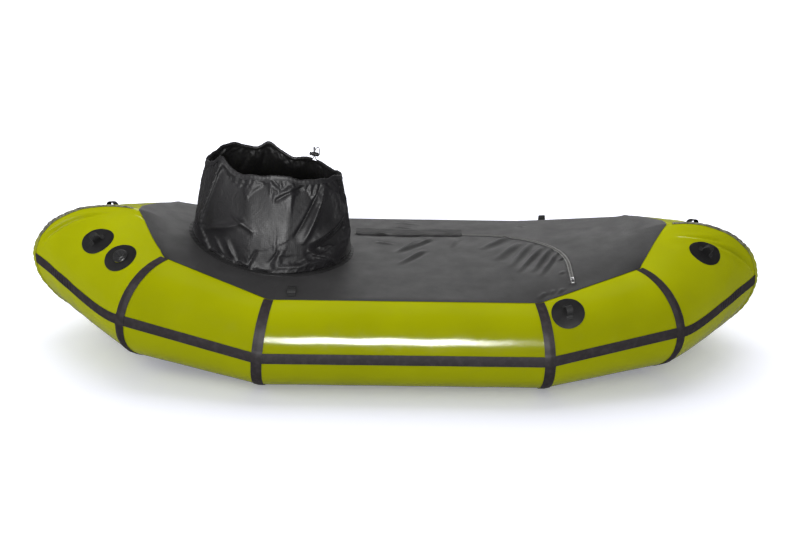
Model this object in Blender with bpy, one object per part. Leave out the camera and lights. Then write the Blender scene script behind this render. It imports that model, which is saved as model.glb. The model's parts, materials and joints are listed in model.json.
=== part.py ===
"""Decked packraft: an inflated ring of ten tube segments with a floor, a spray deck and a cockpit tunnel.

Metres, +Z up, +X to the bow. The origin is on the ground under the middle of the hull.
The hull is worked out for the starboard side (negative Y) and mirrored to port.
"""

import math

import bmesh
import bpy
import numpy as np
from mathutils import Matrix, Vector
from mathutils.bvhtree import BVHTree

# Fabric and the gap between touching pieces
GAP = 0.0003
TUBE_SKIN = 0.0012
TAPE_SKIN = 0.0008
PATCH_SKIN = 0.0008
DECK_SKIN = 0.0010
TUNNEL_SKIN = 0.0008
FLOOR_SKIN = 0.0016

# Tubes: a straight middle, then a quarter and an end segment that swells to the seam on the centreline
TUBE_RADIUS = 0.136
MID_CENTRE_Y = 0.323
STERN_RING_X = -0.3856
BOW_RING_X = 0.4134
STERN = {"joint": (-0.7126, 0.226, 0.196), "joint_radius": 0.158,
         "tip": (-0.8656, 0.236), "tip_radius": 0.190,
         "tip_stretch": 1.155, "fullness": 1.1, "deck_at_joint": 88.0, "deck_at_tip": 105.0}
BOW = {"joint": (0.7304, 0.210, 0.176), "joint_radius": 0.157, "tip": (0.8694, 0.203), "tip_radius": 0.196,
       "tip_stretch": 1.11, "fullness": 1.6, "deck_at_joint": 90.0, "deck_at_tip": 99.0}
DECK_AT_MIDDLE = 85.0
FLOOR_AT_TUBE = -78.0
FLOOR_FLAT = 0.004
FLOOR_BLEND = 0.020
END_STEPS = 6
TUBE_SIDES = 24
SHEET_STEPS = 5

# Tapes over the seams
TAPE_HALF_WIDTH = 0.016
RING_TAPE_LIFT = 0.0013
SEAM_TAPE_LIFT = 0.0018
TAPE_BRIDGE = 0.0014
RING_TAPE_LOW = -72.0
SEAM_TAPE_HALF_WIDTH = 0.012

# Round patches, by station along the hull and angle round the tube
PATCH_RADIUS = 0.050
PATCH_LIFT = 0.0007
PATCHES = {"stern": (2.35, 55.0), "bow": (13.35, 54.0), "mid": (8.19, 55.0)}
VALVE_PLACE = (4.05, 59.0)
VALVE_HOLE = 0.0195

# Webbing loops on the patches
LOOP_WIDTH = 0.020
LOOP_SPAN = 0.026
LOOP_HEIGHT = 0.020
LOOP_FOOT = 0.010
WEBBING = 0.0016

# Tunnel round the paddler, standing on the deck
TUNNEL_X = -0.3916
TUNNEL_BASE = (0.233, 0.210)
TUNNEL_RIM = (0.203, 0.128)
TUNNEL_RIM_X = -0.3816
TUNNEL_RIM_Z = 0.562
TUNNEL_SIDES = 48
TUNNEL_ROWS = 11
FOOT_MARGIN = 0.010
BINDING_WIDTH = 0.015
BINDING_SKIN = 0.0012
HEM_HALF_WIDTH = 0.0034
HEM_DROP = 0.0110
HEM_RISE = 0.0062

# Drawcord in the hem, and its lock beside the tunnel's stern port quarter
CORD_RADIUS = 0.0015
CORD_RISE = 0.0030
LOCK_TURN = math.radians(55.0)
HEM_MOUTH = 0.0085
STRAND = 0.0019
LOCK_RISE = 0.0205
LOCK_RADIUS = 0.0068
PLUNGER_RADIUS = 0.0044

# Entry zip in the deck: forward along the port side, round a bend, and across to starboard
ZIP_START_X = -0.1386
ZIP_PORT_Y = 0.180
ZIP_BEND_X = 0.190
ZIP_BOW_X = 0.5145
ZIP_BEND_Y = -0.150
ZIP_END_Y = -0.266
ZIP_TAPE_WIDTH = 0.022
ZIP_TAPE_LIFT = 0.0006
ZIP_COIL_LIFT = 0.0018
ZIP_COIL_WIDTH = 0.006
ZIP_COIL_HEIGHT = 0.0016
SLIDER_LENGTH = 0.016
SLIDER_LIFT = 0.0007
SLIDER_START_Y = ZIP_END_Y + 0.022
SLIDER_END_Y = ZIP_BEND_Y - 0.012
PULL_LENGTH = 0.026
FLAP_START_X = -0.1336
FLAP_END_X = 0.2084

# Webbing tabs on the deck beside the cockpit
TAB_X = -0.3126
TAB_INNER_Y = -0.278
TAB_OUTER_Y = -0.334
TAB_WIDTH = 0.025
TAB_RISE = 0.0085

# Seat
SEAT_BACK_X = -0.5286
SEAT_FRONT_X = -0.1986
SEAT_HALF_WIDTH = 0.160
SEAT_BACK_HALF_WIDTH = 0.112
SEAT_CROWN = 0.050
SEAT_BELLY = 0.026
SEAT_MIDDLE_Z = 0.029
SEAT_VALVE = (-0.2686, -0.100)
BACKREST_AXIS = (-0.5356, 0.108)
BACKREST_HEIGHT = 0.205
BACKREST_THICK = 0.052
BACKREST_HALF_WIDTH = 0.106


def clear_scene():
    for item in list(bpy.data.objects):
        bpy.data.objects.remove(item)


def material(name, colour, roughness, metallic=0.0):
    """A Principled material with plain values."""
    made = bpy.data.materials.new(name)
    made.use_nodes = True
    shader = made.node_tree.nodes["Principled BSDF"]
    shader.inputs["Base Color"].default_value = (*colour, 1.0)
    shader.inputs["Roughness"].default_value = roughness
    shader.inputs["Metallic"].default_value = metallic
    return made


COLOURS = {
    "tube": ((0.36, 0.39, 0.004), 0.28, 0.0),
    "tape": ((0.032, 0.022, 0.018), 0.55, 0.0),
    "deck": ((0.070, 0.070, 0.068), 0.50, 0.0),
    "tunnel": ((0.022, 0.022, 0.022), 0.40, 0.0),
    "floor": ((0.020, 0.020, 0.020), 0.60, 0.0),
    "patch": ((0.016, 0.015, 0.018), 0.50, 0.0),
    "webbing": ((0.010, 0.010, 0.010), 0.80, 0.0),
    "plastic": ((0.018, 0.018, 0.018), 0.35, 0.0),
    "rubber": ((0.012, 0.012, 0.012), 0.70, 0.0),
    "metal": ((0.55, 0.55, 0.56), 0.35, 1.0),
    "zip": ((0.12, 0.12, 0.118), 0.35, 0.0),
    "seat": ((0.030, 0.030, 0.032), 0.55, 0.0),
}


def finish_object(mesh, name, kind, smooth_angle=40.0):
    """Turn a mesh into a named, shaded object with its own material."""
    mesh.shade_smooth()
    mesh.set_sharp_from_angle(angle=math.radians(smooth_angle))
    mesh.materials.append(material(name + "_" + kind, *COLOURS[kind]))
    made = bpy.data.objects.new(name, mesh)
    bpy.context.scene.collection.objects.link(made)
    return made


def object_from(points, faces, name, kind, smooth_angle=40.0):
    """A closed mesh from points and faces, its doubles merged and its faces pointing out."""
    mesh = bpy.data.meshes.new(name)
    mesh.from_pydata([tuple(p) for p in np.asarray(points, float)], [], faces)
    shape = bmesh.new()
    shape.from_mesh(mesh)
    bmesh.ops.remove_doubles(shape, verts=shape.verts, dist=0.000005)
    bmesh.ops.recalc_face_normals(shape, faces=shape.faces)
    bmesh.ops.triangulate(shape, faces=shape.faces)
    shape.to_mesh(mesh)
    shape.free()
    return finish_object(mesh, name, kind, smooth_angle)


def shell(outer, inner, name, kind, wrap=False, wrap_rows=False, smooth_angle=40.0):
    """A skin between two grids of points of the same shape; wrap joins the last column to the first."""
    rows, columns = outer.shape[:2]
    count = rows * columns

    def index(row, column, side):
        return side * count + (row % rows) * columns + column % columns

    faces = []
    row_spans = rows if wrap_rows else rows - 1
    column_spans = columns if wrap else columns - 1
    for row in range(row_spans):
        for column in range(column_spans):
            for side in (0, 1):
                faces.append([index(row, column, side), index(row, column + 1, side),
                              index(row + 1, column + 1, side), index(row + 1, column, side)])
    if not wrap_rows:
        for row in (0, rows - 1):
            for column in range(column_spans):
                faces.append([index(row, column, 0), index(row, column + 1, 0),
                              index(row, column + 1, 1), index(row, column, 1)])
    if not wrap:
        for column in (0, columns - 1):
            for row in range(row_spans):
                faces.append([index(row, column, 0), index(row + 1, column, 0),
                              index(row + 1, column, 1), index(row, column, 1)])
    faces = [face for face in faces if len(set(face)) > 2]
    points = np.concatenate([outer.reshape(-1, 3), inner.reshape(-1, 3)])
    return object_from(points, faces, name, kind, smooth_angle)


def strap(path, side, thickness, width, name, kind):
    """A flat band along a path: its width lies along side, its thickness square to both."""
    path = np.asarray(path, float)
    side = np.broadcast_to(np.asarray(side, float), path.shape)
    along = np.gradient(path, axis=0)
    along /= np.linalg.norm(along, axis=1, keepdims=True)
    across = side / np.linalg.norm(side, axis=1, keepdims=True)
    up = np.cross(along, across)
    up /= np.linalg.norm(up, axis=1, keepdims=True)
    corners = [(-0.5, -0.5), (0.5, -0.5), (0.5, 0.5), (-0.5, 0.5)]
    ring = np.stack([path + across * width * a + up * thickness * b for a, b in corners], axis=1)
    return closed_sweep(ring, name, kind)


def closed_sweep(rings, name, kind, smooth_angle=40.0):
    """A solid through a row of closed outlines of the same point count, capped at both ends."""
    rows, columns = rings.shape[:2]
    faces = []
    for row in range(rows - 1):
        for column in range(columns):
            after = (column + 1) % columns
            faces.append([row * columns + column, row * columns + after,
                          (row + 1) * columns + after, (row + 1) * columns + column])
    faces.append(list(range(columns)))
    faces.append([(rows - 1) * columns + column for column in range(columns)])
    return object_from(rings.reshape(-1, 3), faces, name, kind, smooth_angle)


def turned(profile, name, kind, place, segments=24):
    """A round piece: a closed outline of radius and height pairs turned about its own Z, then placed."""
    angles = np.linspace(0.0, 2.0 * math.pi, segments, endpoint=False)
    outline = np.array(profile, float)
    rings = np.stack([outline[:, :1] * np.cos(angles), outline[:, :1] * np.sin(angles),
                      outline[:, 1:] * np.ones(segments)], axis=-1)
    rows = len(profile)
    faces = []
    for row in range(rows):
        for column in range(segments):
            after = (column + 1) % segments
            below = (row + 1) % rows
            faces.append([row * segments + column, row * segments + after,
                          below * segments + after, below * segments + column])
    made = object_from(rings.reshape(-1, 3), faces, name, kind)
    made.matrix_world = place
    return made


def block(low, high, name, kind, place, bevel=0.0008):
    """A bevelled block between two corners in its own frame, then placed."""
    corners = [(x, y, z) for x in (low[0], high[0]) for y in (low[1], high[1]) for z in (low[2], high[2])]
    faces = [[0, 1, 3, 2], [4, 6, 7, 5], [0, 4, 5, 1], [2, 3, 7, 6], [0, 2, 6, 4], [1, 5, 7, 3]]
    mesh = bpy.data.meshes.new(name)
    mesh.from_pydata(corners, [], faces)
    shape = bmesh.new()
    shape.from_mesh(mesh)
    bmesh.ops.bevel(shape, geom=list(shape.edges), offset=bevel, segments=1, affect="EDGES")
    bmesh.ops.recalc_face_normals(shape, faces=shape.faces)
    shape.to_mesh(mesh)
    shape.free()
    made = finish_object(mesh, name, kind)
    made.matrix_world = place
    return made


def cut(target, cutter):
    """Subtract a cutter, which is a guide and is never part of the object."""
    cutter.hide_render = True
    cutter.display_type = "WIRE"
    change = target.modifiers.new("cut_" + cutter.name, "BOOLEAN")
    change.operation = "DIFFERENCE"
    change.solver = "EXACT"
    change.object = cutter


def join(target, added):
    """Unite a guide shape with its piece."""
    added.hide_render = True
    added.display_type = "WIRE"
    change = target.modifiers.new("join_" + added.name, "BOOLEAN")
    change.operation = "UNION"
    change.solver = "EXACT"
    change.object = added


def unit(vector):
    vector = np.asarray(vector, float)
    return vector / np.linalg.norm(vector, axis=-1, keepdims=True)


def frame_at(origin, normal, along):
    """A placing matrix with Z on the normal and X as near to along as it can be."""
    z = unit(normal)
    x = unit(np.asarray(along, float) - z * np.dot(along, z))
    y = np.cross(z, x)
    return Matrix(((x[0], y[0], z[0], origin[0]), (x[1], y[1], z[1], origin[1]),
                   (x[2], y[2], z[2], origin[2]), (0.0, 0.0, 0.0, 1.0)))


# Hull surface

LIFT = FLOOR_SKIN + 2.0 * GAP


def hull_stations():
    """The tube's centre, direction, cutting plane, radius and stretch at each station, stern to bow."""
    rows = []
    middle_z = TUBE_RADIUS + LIFT
    for side, end, ring_x in ((-1.0, STERN, STERN_RING_X), (1.0, BOW, BOW_RING_X)):
        ring = np.array([ring_x, -MID_CENTRE_Y, middle_z])
        joint = np.array([end["joint"][0], -end["joint"][1], end["joint"][2] + LIFT])
        tip = np.array([end["tip"][0], 0.0, end["tip"][1] + LIFT])
        quarter = unit(joint - ring)
        last = unit(tip - joint)
        joint_plane = unit(quarter + last)
        facing = unit(quarter + np.array([side, 0.0, 0.0]))
        part = [(ring, quarter, facing, TUBE_RADIUS, 1.0, DECK_AT_MIDDLE)]
        for t in np.linspace(0.0, 1.0, END_STEPS + 1):
            centre = joint + (tip - joint) * t ** end["fullness"]
            plane = unit(joint_plane * (1.0 - t) + np.array([0.0, 1.0, 0.0]) * t)
            radius = end["joint_radius"] + (end["tip_radius"] - end["joint_radius"]) * t
            stretch = 1.0 + (end["tip_stretch"] - 1.0) * t
            deck_angle = end["deck_at_joint"] + (end["deck_at_tip"] - end["deck_at_joint"]) * t
            direction = quarter if t == 0.0 else last
            part.append((centre, direction, plane, radius, stretch, deck_angle))
        rows.append(part)
    ordered = rows[0][::-1] + rows[1]
    return [np.array([row[k] for row in ordered]) for k in range(6)]


CENTRES, DIRECTIONS, PLANES, RADII, STRETCHES, DECK_ANGLES = hull_stations()
STERN_JOINT = END_STEPS
STERN_RING = END_STEPS + 1
BOW_RING = END_STEPS + 2
BOW_JOINT = END_STEPS + 3
LAST_STATION = 2 * END_STEPS + 3


def station_points(index, angles, offset):
    """Points round one station: a circle about the tube's line, slid along the line onto its plane."""
    direction = DIRECTIONS[index]
    out = np.stack([direction[..., 1], -direction[..., 0], np.zeros(index.shape)], axis=-1)
    out = unit(np.where(out[..., 1:2] > 0.0, -out, out))
    up = np.cross(out, direction)
    up = np.where(up[..., 2:3] < 0.0, -up, up)
    radius = RADII[index]
    reach = (radius * STRETCHES[index] + offset) * np.cos(angles)
    rise = (radius + offset) * np.sin(angles)
    spoke = reach[..., None] * out + rise[..., None] * up
    slide = np.sum(spoke * PLANES[index], axis=-1) / np.sum(direction * PLANES[index], axis=-1)
    return CENTRES[index] + spoke - direction * slide[..., None]


def hull(station, degrees, offset=0.0):
    """The tube's surface on the starboard side: straight lines between neighbouring stations."""
    station, degrees, offset = np.broadcast_arrays(np.asarray(station, float), np.asarray(degrees, float),
                                                   np.asarray(offset, float))
    first = np.clip(np.floor(station).astype(int), 0, LAST_STATION - 1)
    part = (station - first)[..., None]
    angles = np.radians(degrees)
    before = station_points(first, angles, offset)
    after = station_points(first + 1, angles, offset)
    return before * (1.0 - part) + after * part


def sided(points, port):
    """The same points on the starboard or the port side."""
    flipped = np.array(points, float)
    if port:
        flipped[..., 1] *= -1.0
    return flipped


SIDES = (("port", True), ("starboard", False))


def trimmed_stations(first, last, trim):
    """Station values from first to last, drawn in at both ends by a small length."""
    values = np.arange(first, last + 1, dtype=float)
    for end, step in ((0, 1), (-1, -1)):
        length = np.linalg.norm(hull(values[end], 90.0) - hull(values[end] + step, 90.0))
        values[end] += step * trim / length
    return values


def make_tubes():
    """Ten open-ended tube skins that meet edge to edge at the tape lines and at the end seams."""
    spans = (("end_stern", 0, STERN_JOINT), ("quarter_stern", STERN_JOINT, STERN_RING),
             ("middle", STERN_RING, BOW_RING), ("quarter_bow", BOW_RING, BOW_JOINT),
             ("end_bow", BOW_JOINT, LAST_STATION))
    angles = np.arange(TUBE_SIDES) * 360.0 / TUBE_SIDES + 180.0 / TUBE_SIDES - 180.0
    for label, first, last in spans:
        stations = trimmed_stations(first, last, 1.5 * GAP)[:, None]
        for side, port in SIDES:
            outer = sided(hull(stations, angles), port)
            inner = sided(hull(stations, angles, -TUBE_SKIN), port)
            shell(outer, inner, "tube_" + label + "_" + side, "tube", wrap=True)


def make_equator_tape():
    """One tape right round the widest line of the tubes, pointed at the stern and the bow."""
    stations = np.arange(LAST_STATION + 1, dtype=float)
    half_angle = np.degrees(TAPE_HALF_WIDTH / RADII)
    angles = half_angle[:, None] * np.array([-1.0, 1.0])
    layers = []
    for offset in (GAP + TAPE_SKIN, GAP):
        starboard = hull(stations[:, None], angles, offset)
        port = sided(starboard[-2:0:-1], True)
        layers.append(np.concatenate([starboard, port]))
    shell(layers[0], layers[1], "equator_tape", "tape", wrap_rows=True)


def across_joint(joint):
    """Stations a tape's half width to each side of a joint, with the joint and any station between."""
    values = []
    for step in (-1, 1):
        length = np.linalg.norm(hull(float(joint), 0.0) - hull(float(joint + step), 0.0))
        values.append(joint + step * TAPE_HALF_WIDTH / length)
    between = np.arange(math.ceil(values[0]), math.floor(values[1]) + 1)
    return np.array([values[0], *between, values[1]])


def make_ring_tapes():
    """A tape round each tube joint, from under the hull to the deck edge, bridging the equator tape."""
    pitch = 360.0 / TUBE_SIDES
    for label, joint in (("stern_end", STERN_JOINT), ("stern_middle", STERN_RING),
                         ("bow_middle", BOW_RING), ("bow_end", BOW_JOINT)):
        top = DECK_ANGLES[joint] - 1.0
        grid = np.arange(-4.5, 6.0) * pitch
        angles = np.array([RING_TAPE_LOW, *[a for a in grid if RING_TAPE_LOW + 1.0 < a < top - 1.0], top])
        lift = RING_TAPE_LIFT + np.where(np.abs(angles) < pitch, TAPE_BRIDGE, 0.0)
        stations = across_joint(joint)[:, None]
        for side, port in SIDES:
            outer = sided(hull(stations, angles, lift + TAPE_SKIN), port)
            inner = sided(hull(stations, angles, lift), port)
            shell(outer, inner, "ring_tape_" + label + "_" + side, "tape")


def make_seam_tapes():
    """The puckered tape over each end seam, folded over the ridge where port and starboard meet."""
    for label, tip, step in (("stern", 0, 1), ("bow", LAST_STATION, -1)):
        low = FLOOR_AT_TUBE + 8.0
        angles = np.linspace(low, DECK_ANGLES[tip] - 4.0, 15)
        length = np.linalg.norm(hull(float(tip), 30.0) - hull(float(tip + step), 30.0))
        station = tip + step * SEAM_TAPE_HALF_WIDTH / length
        lift = SEAM_TAPE_LIFT + np.where(np.abs(angles) < 1.5 * (angles[1] - angles[0]), TAPE_BRIDGE, 0.0)
        layers = []
        for offset in (lift + TAPE_SKIN, lift):
            side = hull(station, angles, offset)
            middle = hull(float(tip), angles, offset)
            layers.append(np.stack([side, middle, sided(side, True)], axis=1))
        shell(layers[0], layers[1], "seam_tape_" + label, "tape")


# Deck and floor

class HullShape:
    """The outer skin of all the tubes, read along vertical lines."""

    def __init__(self):
        angles = np.arange(TUBE_SIDES + 1) * 360.0 / TUBE_SIDES + 180.0 / TUBE_SIDES
        stations = np.arange(LAST_STATION + 1, dtype=float)
        grid = hull(stations[:, None], angles)
        rows, columns = grid.shape[:2]
        points = [Vector(p) for p in np.concatenate([grid, sided(grid, True)]).reshape(-1, 3)]
        faces = []
        for row in range(2 * rows - 1):
            if row == rows - 1:
                continue
            for column in range(columns - 1):
                a = row * columns + column
                faces.append([a, a + 1, a + columns + 1, a + columns])
        self.tree = BVHTree.FromPolygons(points, faces)

    def surface(self, x, y, from_above):
        """Heights of the skin over each place, or NaN beside the tubes."""
        start = 1.0 if from_above else -1.0
        heights = np.full(x.shape, np.nan)
        for place in np.ndindex(x.shape):
            hit = self.tree.ray_cast(Vector((x[place], y[place], start)), Vector((0.0, 0.0, -start)))[0]
            if hit is not None:
                heights[place] = hit.z
        return heights


def taut_sheet(edge, fractions, limit, above, passes=1500):
    """Heights of a taut sheet held along both long edges and at its end rows. Each point is the mean of
    its four neighbours, weighted by how near they are, and is kept on its own side of a limit."""
    heights = np.repeat(edge[:, 2:3], len(fractions), axis=1)
    back = (edge[1:-1, 0] - edge[:-2, 0])[:, None]
    ahead = (edge[2:, 0] - edge[1:-1, 0])[:, None]
    half = np.abs(edge[1:-1, 1])[:, None]
    left = half * np.diff(fractions)[None, :-1]
    right = half * np.diff(fractions)[None, 1:]
    weights = [2.0 / (back * (back + ahead)), 2.0 / (ahead * (back + ahead)),
               2.0 / (left * (left + right)), 2.0 / (right * (left + right))]
    total = sum(weights)
    for _ in range(passes):
        mean = (weights[0] * heights[:-2, 1:-1] + weights[1] * heights[2:, 1:-1]
                + weights[2] * heights[1:-1, :-2] + weights[3] * heights[1:-1, 2:]) / total
        heights[1:-1, 1:-1] = mean
        if above:
            heights = np.fmax(heights, limit)
        else:
            heights = np.fmin(heights, limit)
    return heights


def sheet_grid(shape, degrees, offset, clearance, fractions, ends_in, above):
    """Rows of points from the starboard edge to the port edge of a sheet stretched over the hull."""
    stations = []
    for index in range(LAST_STATION):
        count = SHEET_STEPS if STERN_JOINT <= index < BOW_JOINT else 1
        stations.extend(index + np.arange(count) / count)
    stations = np.array([*stations, LAST_STATION], float)
    stations[0] += ends_in
    stations[-1] -= ends_in
    angle = np.interp(stations, np.arange(LAST_STATION + 1), degrees)
    edge = hull(stations, angle, offset)
    x = np.repeat(edge[:, 0:1], len(fractions), axis=1)
    y = -edge[:, 1:2] * fractions
    limit = shape.surface(x, y, above) + (clearance if above else -clearance)
    return np.stack([x, y, taut_sheet(edge, fractions, limit, above)], axis=-1)


def half_and_half(values):
    """Fractions across a sheet, from -1 to 1, from those of one side."""
    side = np.array(values)
    return np.concatenate([-side, side[-2::-1]])


def make_deck(shape):
    """The spray deck: one taut sheet glued along the tops of the tubes, with the tunnel's hole in it."""
    fractions = half_and_half([1.0, 0.95, 0.88, 0.78, 0.60, 0.40, 0.20, 0.0])
    lower = sheet_grid(shape, DECK_ANGLES, 0.0016, 0.0016, fractions, 0.15, True)
    upper = lower + np.array([0.0, 0.0, DECK_SKIN])
    deck = shell(upper, lower, "deck_sheet", "deck", smooth_angle=60.0)
    cut(deck, tunnel_cutter())
    return SheetTop(upper)


def tunnel_cutter():
    """The cockpit hole: the tunnel's oval, drawn in so that the tunnel stands on cloth."""
    angles = np.linspace(0.0, 2.0 * math.pi, TUNNEL_SIDES, endpoint=False)
    x = TUNNEL_X + (TUNNEL_BASE[0] - FOOT_MARGIN) * np.cos(angles)
    y = (TUNNEL_BASE[1] - FOOT_MARGIN) * np.sin(angles)
    rings = np.stack([np.stack([x, y, np.full_like(x, z)], axis=-1) for z in (0.2, 0.5)])
    return closed_sweep(rings, "tunnel_hole_guide", "deck")


class SheetTop:
    """Heights on the uncut top of a sheet, read where a vertical line meets it."""

    def __init__(self, grid):
        rows, columns = grid.shape[:2]
        faces = []
        for row in range(rows - 1):
            for column in range(columns - 1):
                a = row * columns + column
                faces.append([a, a + 1, a + columns + 1, a + columns])
        self.tree = BVHTree.FromPolygons([Vector(p) for p in grid.reshape(-1, 3)], faces)

    def height(self, x, y):
        return self.tree.ray_cast(Vector((x, y, 1.0)), Vector((0.0, 0.0, -1.0)))[0].z

    def points(self, x, y, lift):
        return np.array([(a, b, self.height(a, b) + lift) for a, b in zip(x, y)])


def make_floor(shape):
    """The floor sheet: flat between the middle tubes and rising with the ends."""
    fractions = half_and_half([1.0, 0.95, 0.87, 0.72, 0.42, 0.0])
    angles = np.full(LAST_STATION + 1, FLOOR_AT_TUBE)
    upper = sheet_grid(shape, angles, 0.0016, 0.0024, fractions, 0.25, False)
    rise = upper[..., 2] - FLOOR_SKIN
    started = np.clip((rise - FLOOR_FLAT) / FLOOR_BLEND, 0.0, 1.0)
    inside = np.clip((1.0 - np.abs(fractions)) / 0.2, 0.0, 1.0)
    kept = 1.0 - inside * (1.0 - started ** 2 * (3.0 - 2.0 * started))
    upper[..., 2] = FLOOR_SKIN + np.where(rise < FLOOR_FLAT, 0.0, rise * kept)
    lower = upper - np.array([0.0, 0.0, FLOOR_SKIN])
    shell(upper, lower, "floor_sheet", "floor")
    return SheetTop(upper)


# Patches and webbing loops

def arc_lengths(degrees):
    """Distance along the hull at one angle round the tube, at each station."""
    line = hull(np.arange(LAST_STATION + 1, dtype=float), degrees)
    steps = np.linalg.norm(np.diff(line, axis=0), axis=1)
    return np.concatenate([[0.0], np.cumsum(steps)])


def around(place, along, across):
    """Station and angle of points a distance along the hull and up round the tube from a place."""
    station, degrees = place
    lengths = arc_lengths(degrees)
    stations = np.arange(LAST_STATION + 1, dtype=float)
    start = np.interp(station, stations, lengths)
    moved = np.interp(start + np.asarray(along, float), lengths, stations)
    per_degree = np.linalg.norm(hull(station, degrees + 0.5) - hull(station, degrees - 0.5))
    return moved, degrees + np.asarray(across, float) / per_degree


def local_frame(place, port):
    """Origin, direction along the hull and outward normal at a place on the hull."""
    origin = hull(*place)
    along = unit(hull(*around(place, 0.004, 0.0)) - hull(*around(place, -0.004, 0.0)))
    across = unit(hull(place[0], place[1] + 1.0) - hull(place[0], place[1] - 1.0))
    normal = unit(np.cross(across, along))
    if normal[2] < 0.0:
        normal = -normal
    return [sided(v, port) for v in (origin, along, normal)]


def patch(place, name, port, hole=0.0):
    """A round patch that follows the tube, with an optional hole in its middle."""
    start = hole / PATCH_RADIUS
    spokes = np.linspace(0.0, 2.0 * math.pi, 22, endpoint=False)
    reach = PATCH_RADIUS * np.array([start, 0.5 + 0.5 * start, 1.0])[:, None]
    station, degrees = around(place, reach * np.cos(spokes), reach * np.sin(spokes))
    outer = sided(hull(station, degrees, PATCH_LIFT + PATCH_SKIN), port)
    inner = sided(hull(station, degrees, PATCH_LIFT), port)
    return shell(outer, inner, name, "patch", wrap=True)


def loop(place, name, port):
    """A webbing loop: two sewn feet on the patch and an arch between them, open along the hull."""
    base = PATCH_LIFT + PATCH_SKIN + 2.0 * GAP + WEBBING / 2.0
    turn = np.linspace(0.0, math.pi, 9)
    half = LOOP_SPAN / 2.0
    across = np.concatenate([[-half - LOOP_FOOT, -half - 0.002], -half * np.cos(turn),
                             [half + 0.002, half + LOOP_FOOT]])
    rise = np.concatenate([[0.0, 0.0], 0.0015 + LOOP_HEIGHT * np.sin(turn), [0.0, 0.0]])
    station, degrees = around(place, np.zeros(across.shape), across)
    path = sided(hull(station, degrees, base + rise), port)
    return strap(path, local_frame(place, port)[1], WEBBING, LOOP_WIDTH, name, "webbing")


def make_patches():
    for label, place in PATCHES.items():
        for side, port in SIDES:
            patch(place, "patch_" + label + "_" + side, port)
            loop(place, "loop_" + label + "_" + side, port)


# Inflation valve on the starboard stern segment. Its frame has Z outward and zero on top of its patch.

def make_valve():
    """Flange welded through the patch, a screw-in body with a flap below it, and a hinged cap."""
    origin, along, normal = local_frame(VALVE_PLACE, False)
    patch(VALVE_PLACE, "valve_patch", False, hole=VALVE_HOLE + 0.0012)
    place = frame_at(origin + normal * (PATCH_LIFT + PATCH_SKIN), normal, along)
    guide = turned([(0.0, -0.02), (VALVE_HOLE, -0.02), (VALVE_HOLE, 0.02), (0.0, 0.02)],
                   "valve_hole_guide", "plastic", place)
    cut(bpy.data.objects["tube_end_stern_starboard"], guide)
    turned([(0.0160, -0.0100), (0.0190, -0.0100), (0.0190, 0.0014), (0.0228, 0.0014), (0.0228, 0.0028),
            (0.0206, 0.0044), (0.0160, 0.0044)], "valve_flange", "plastic", place)
    body = turned([(0.0105, -0.0080), (0.0156, -0.0080), (0.0156, 0.0048), (0.0200, 0.0048),
                   (0.0200, 0.0074), (0.0188, 0.0084), (0.0105, 0.0084)], "valve_body", "plastic", place)
    lug = block((0.0180, -0.0035, 0.0056), (0.0216, 0.0035, 0.0082), "valve_lug_guide", "plastic", place)
    join(body, lug)
    turned([(0.0, -0.0092), (0.0125, -0.0092), (0.0125, -0.0084), (0.0, -0.0084)],
           "valve_flap", "rubber", place, 16)
    cap = turned([(0.0, 0.0054), (0.0098, 0.0054), (0.0098, 0.0087), (0.0178, 0.0087), (0.0178, 0.0110),
                  (0.0166, 0.0120), (0.0, 0.0120)], "valve_cap", "plastic", place)
    bar = block((-0.0150, -0.0022, 0.0102), (0.0150, 0.0022, 0.0152),
                "valve_cap_bar_guide", "plastic", place)
    join(cap, bar)
    tab = block((0.0160, -0.0035, 0.0090), (0.0214, 0.0035, 0.0106), "valve_cap_tab_guide", "plastic", place)
    join(cap, tab)


# Tunnel

TUNNEL_TURN = np.linspace(0.0, 2.0 * math.pi, TUNNEL_SIDES, endpoint=False)
FOLD_WIDE = 0.0065
FOLD_FINE = 0.0045
FOLD_AT_ENDS = 0.35


def tunnel_fold(turn, height):
    """How far the slack cloth stands in or out: two runs of folds that fade at the seam and the rim."""
    fade = FOLD_AT_ENDS + 2.6 * height * (1.0 - height)
    wide = FOLD_WIDE * np.sin(5.0 * turn + 1.0 + 2.2 * height)
    fine = FOLD_FINE * np.sin(9.0 * turn - 3.0 * height + 0.5)
    return fade * (wide + fine)


def tunnel_rim_height(turn):
    """Rim height: low at the bow end, high at the stern, with one stiff fold at the rear starboard."""
    fold = 0.030 * np.exp(-((turn - math.radians(222.0)) / math.radians(13.0)) ** 2)
    return TUNNEL_RIM_Z - 0.028 * np.cos(turn) + 0.008 * np.sin(turn) + fold


def tunnel_points(turn, height, out, deck):
    """The tunnel's cloth: an oval at the deck blending to a smaller oval at the rim, bulging between."""
    bulge = 0.012 * np.sin(math.pi * height) + tunnel_fold(turn, height) + out
    reach_x = TUNNEL_BASE[0] + (TUNNEL_RIM[0] - TUNNEL_BASE[0]) * height ** 1.6
    reach_y = TUNNEL_BASE[1] + (TUNNEL_RIM[1] - TUNNEL_BASE[1]) * height ** 1.2
    x = TUNNEL_X + (TUNNEL_RIM_X - TUNNEL_X) * height + (reach_x + bulge) * np.cos(turn)
    y = (reach_y + bulge) * np.sin(turn)
    low = deck.points(np.ravel(x), np.ravel(y), 2.0 * GAP)[:, 2].reshape(x.shape)
    z = low * (1.0 - height) + tunnel_rim_height(turn) * height
    return np.stack([x, y, z], axis=-1)


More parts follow.
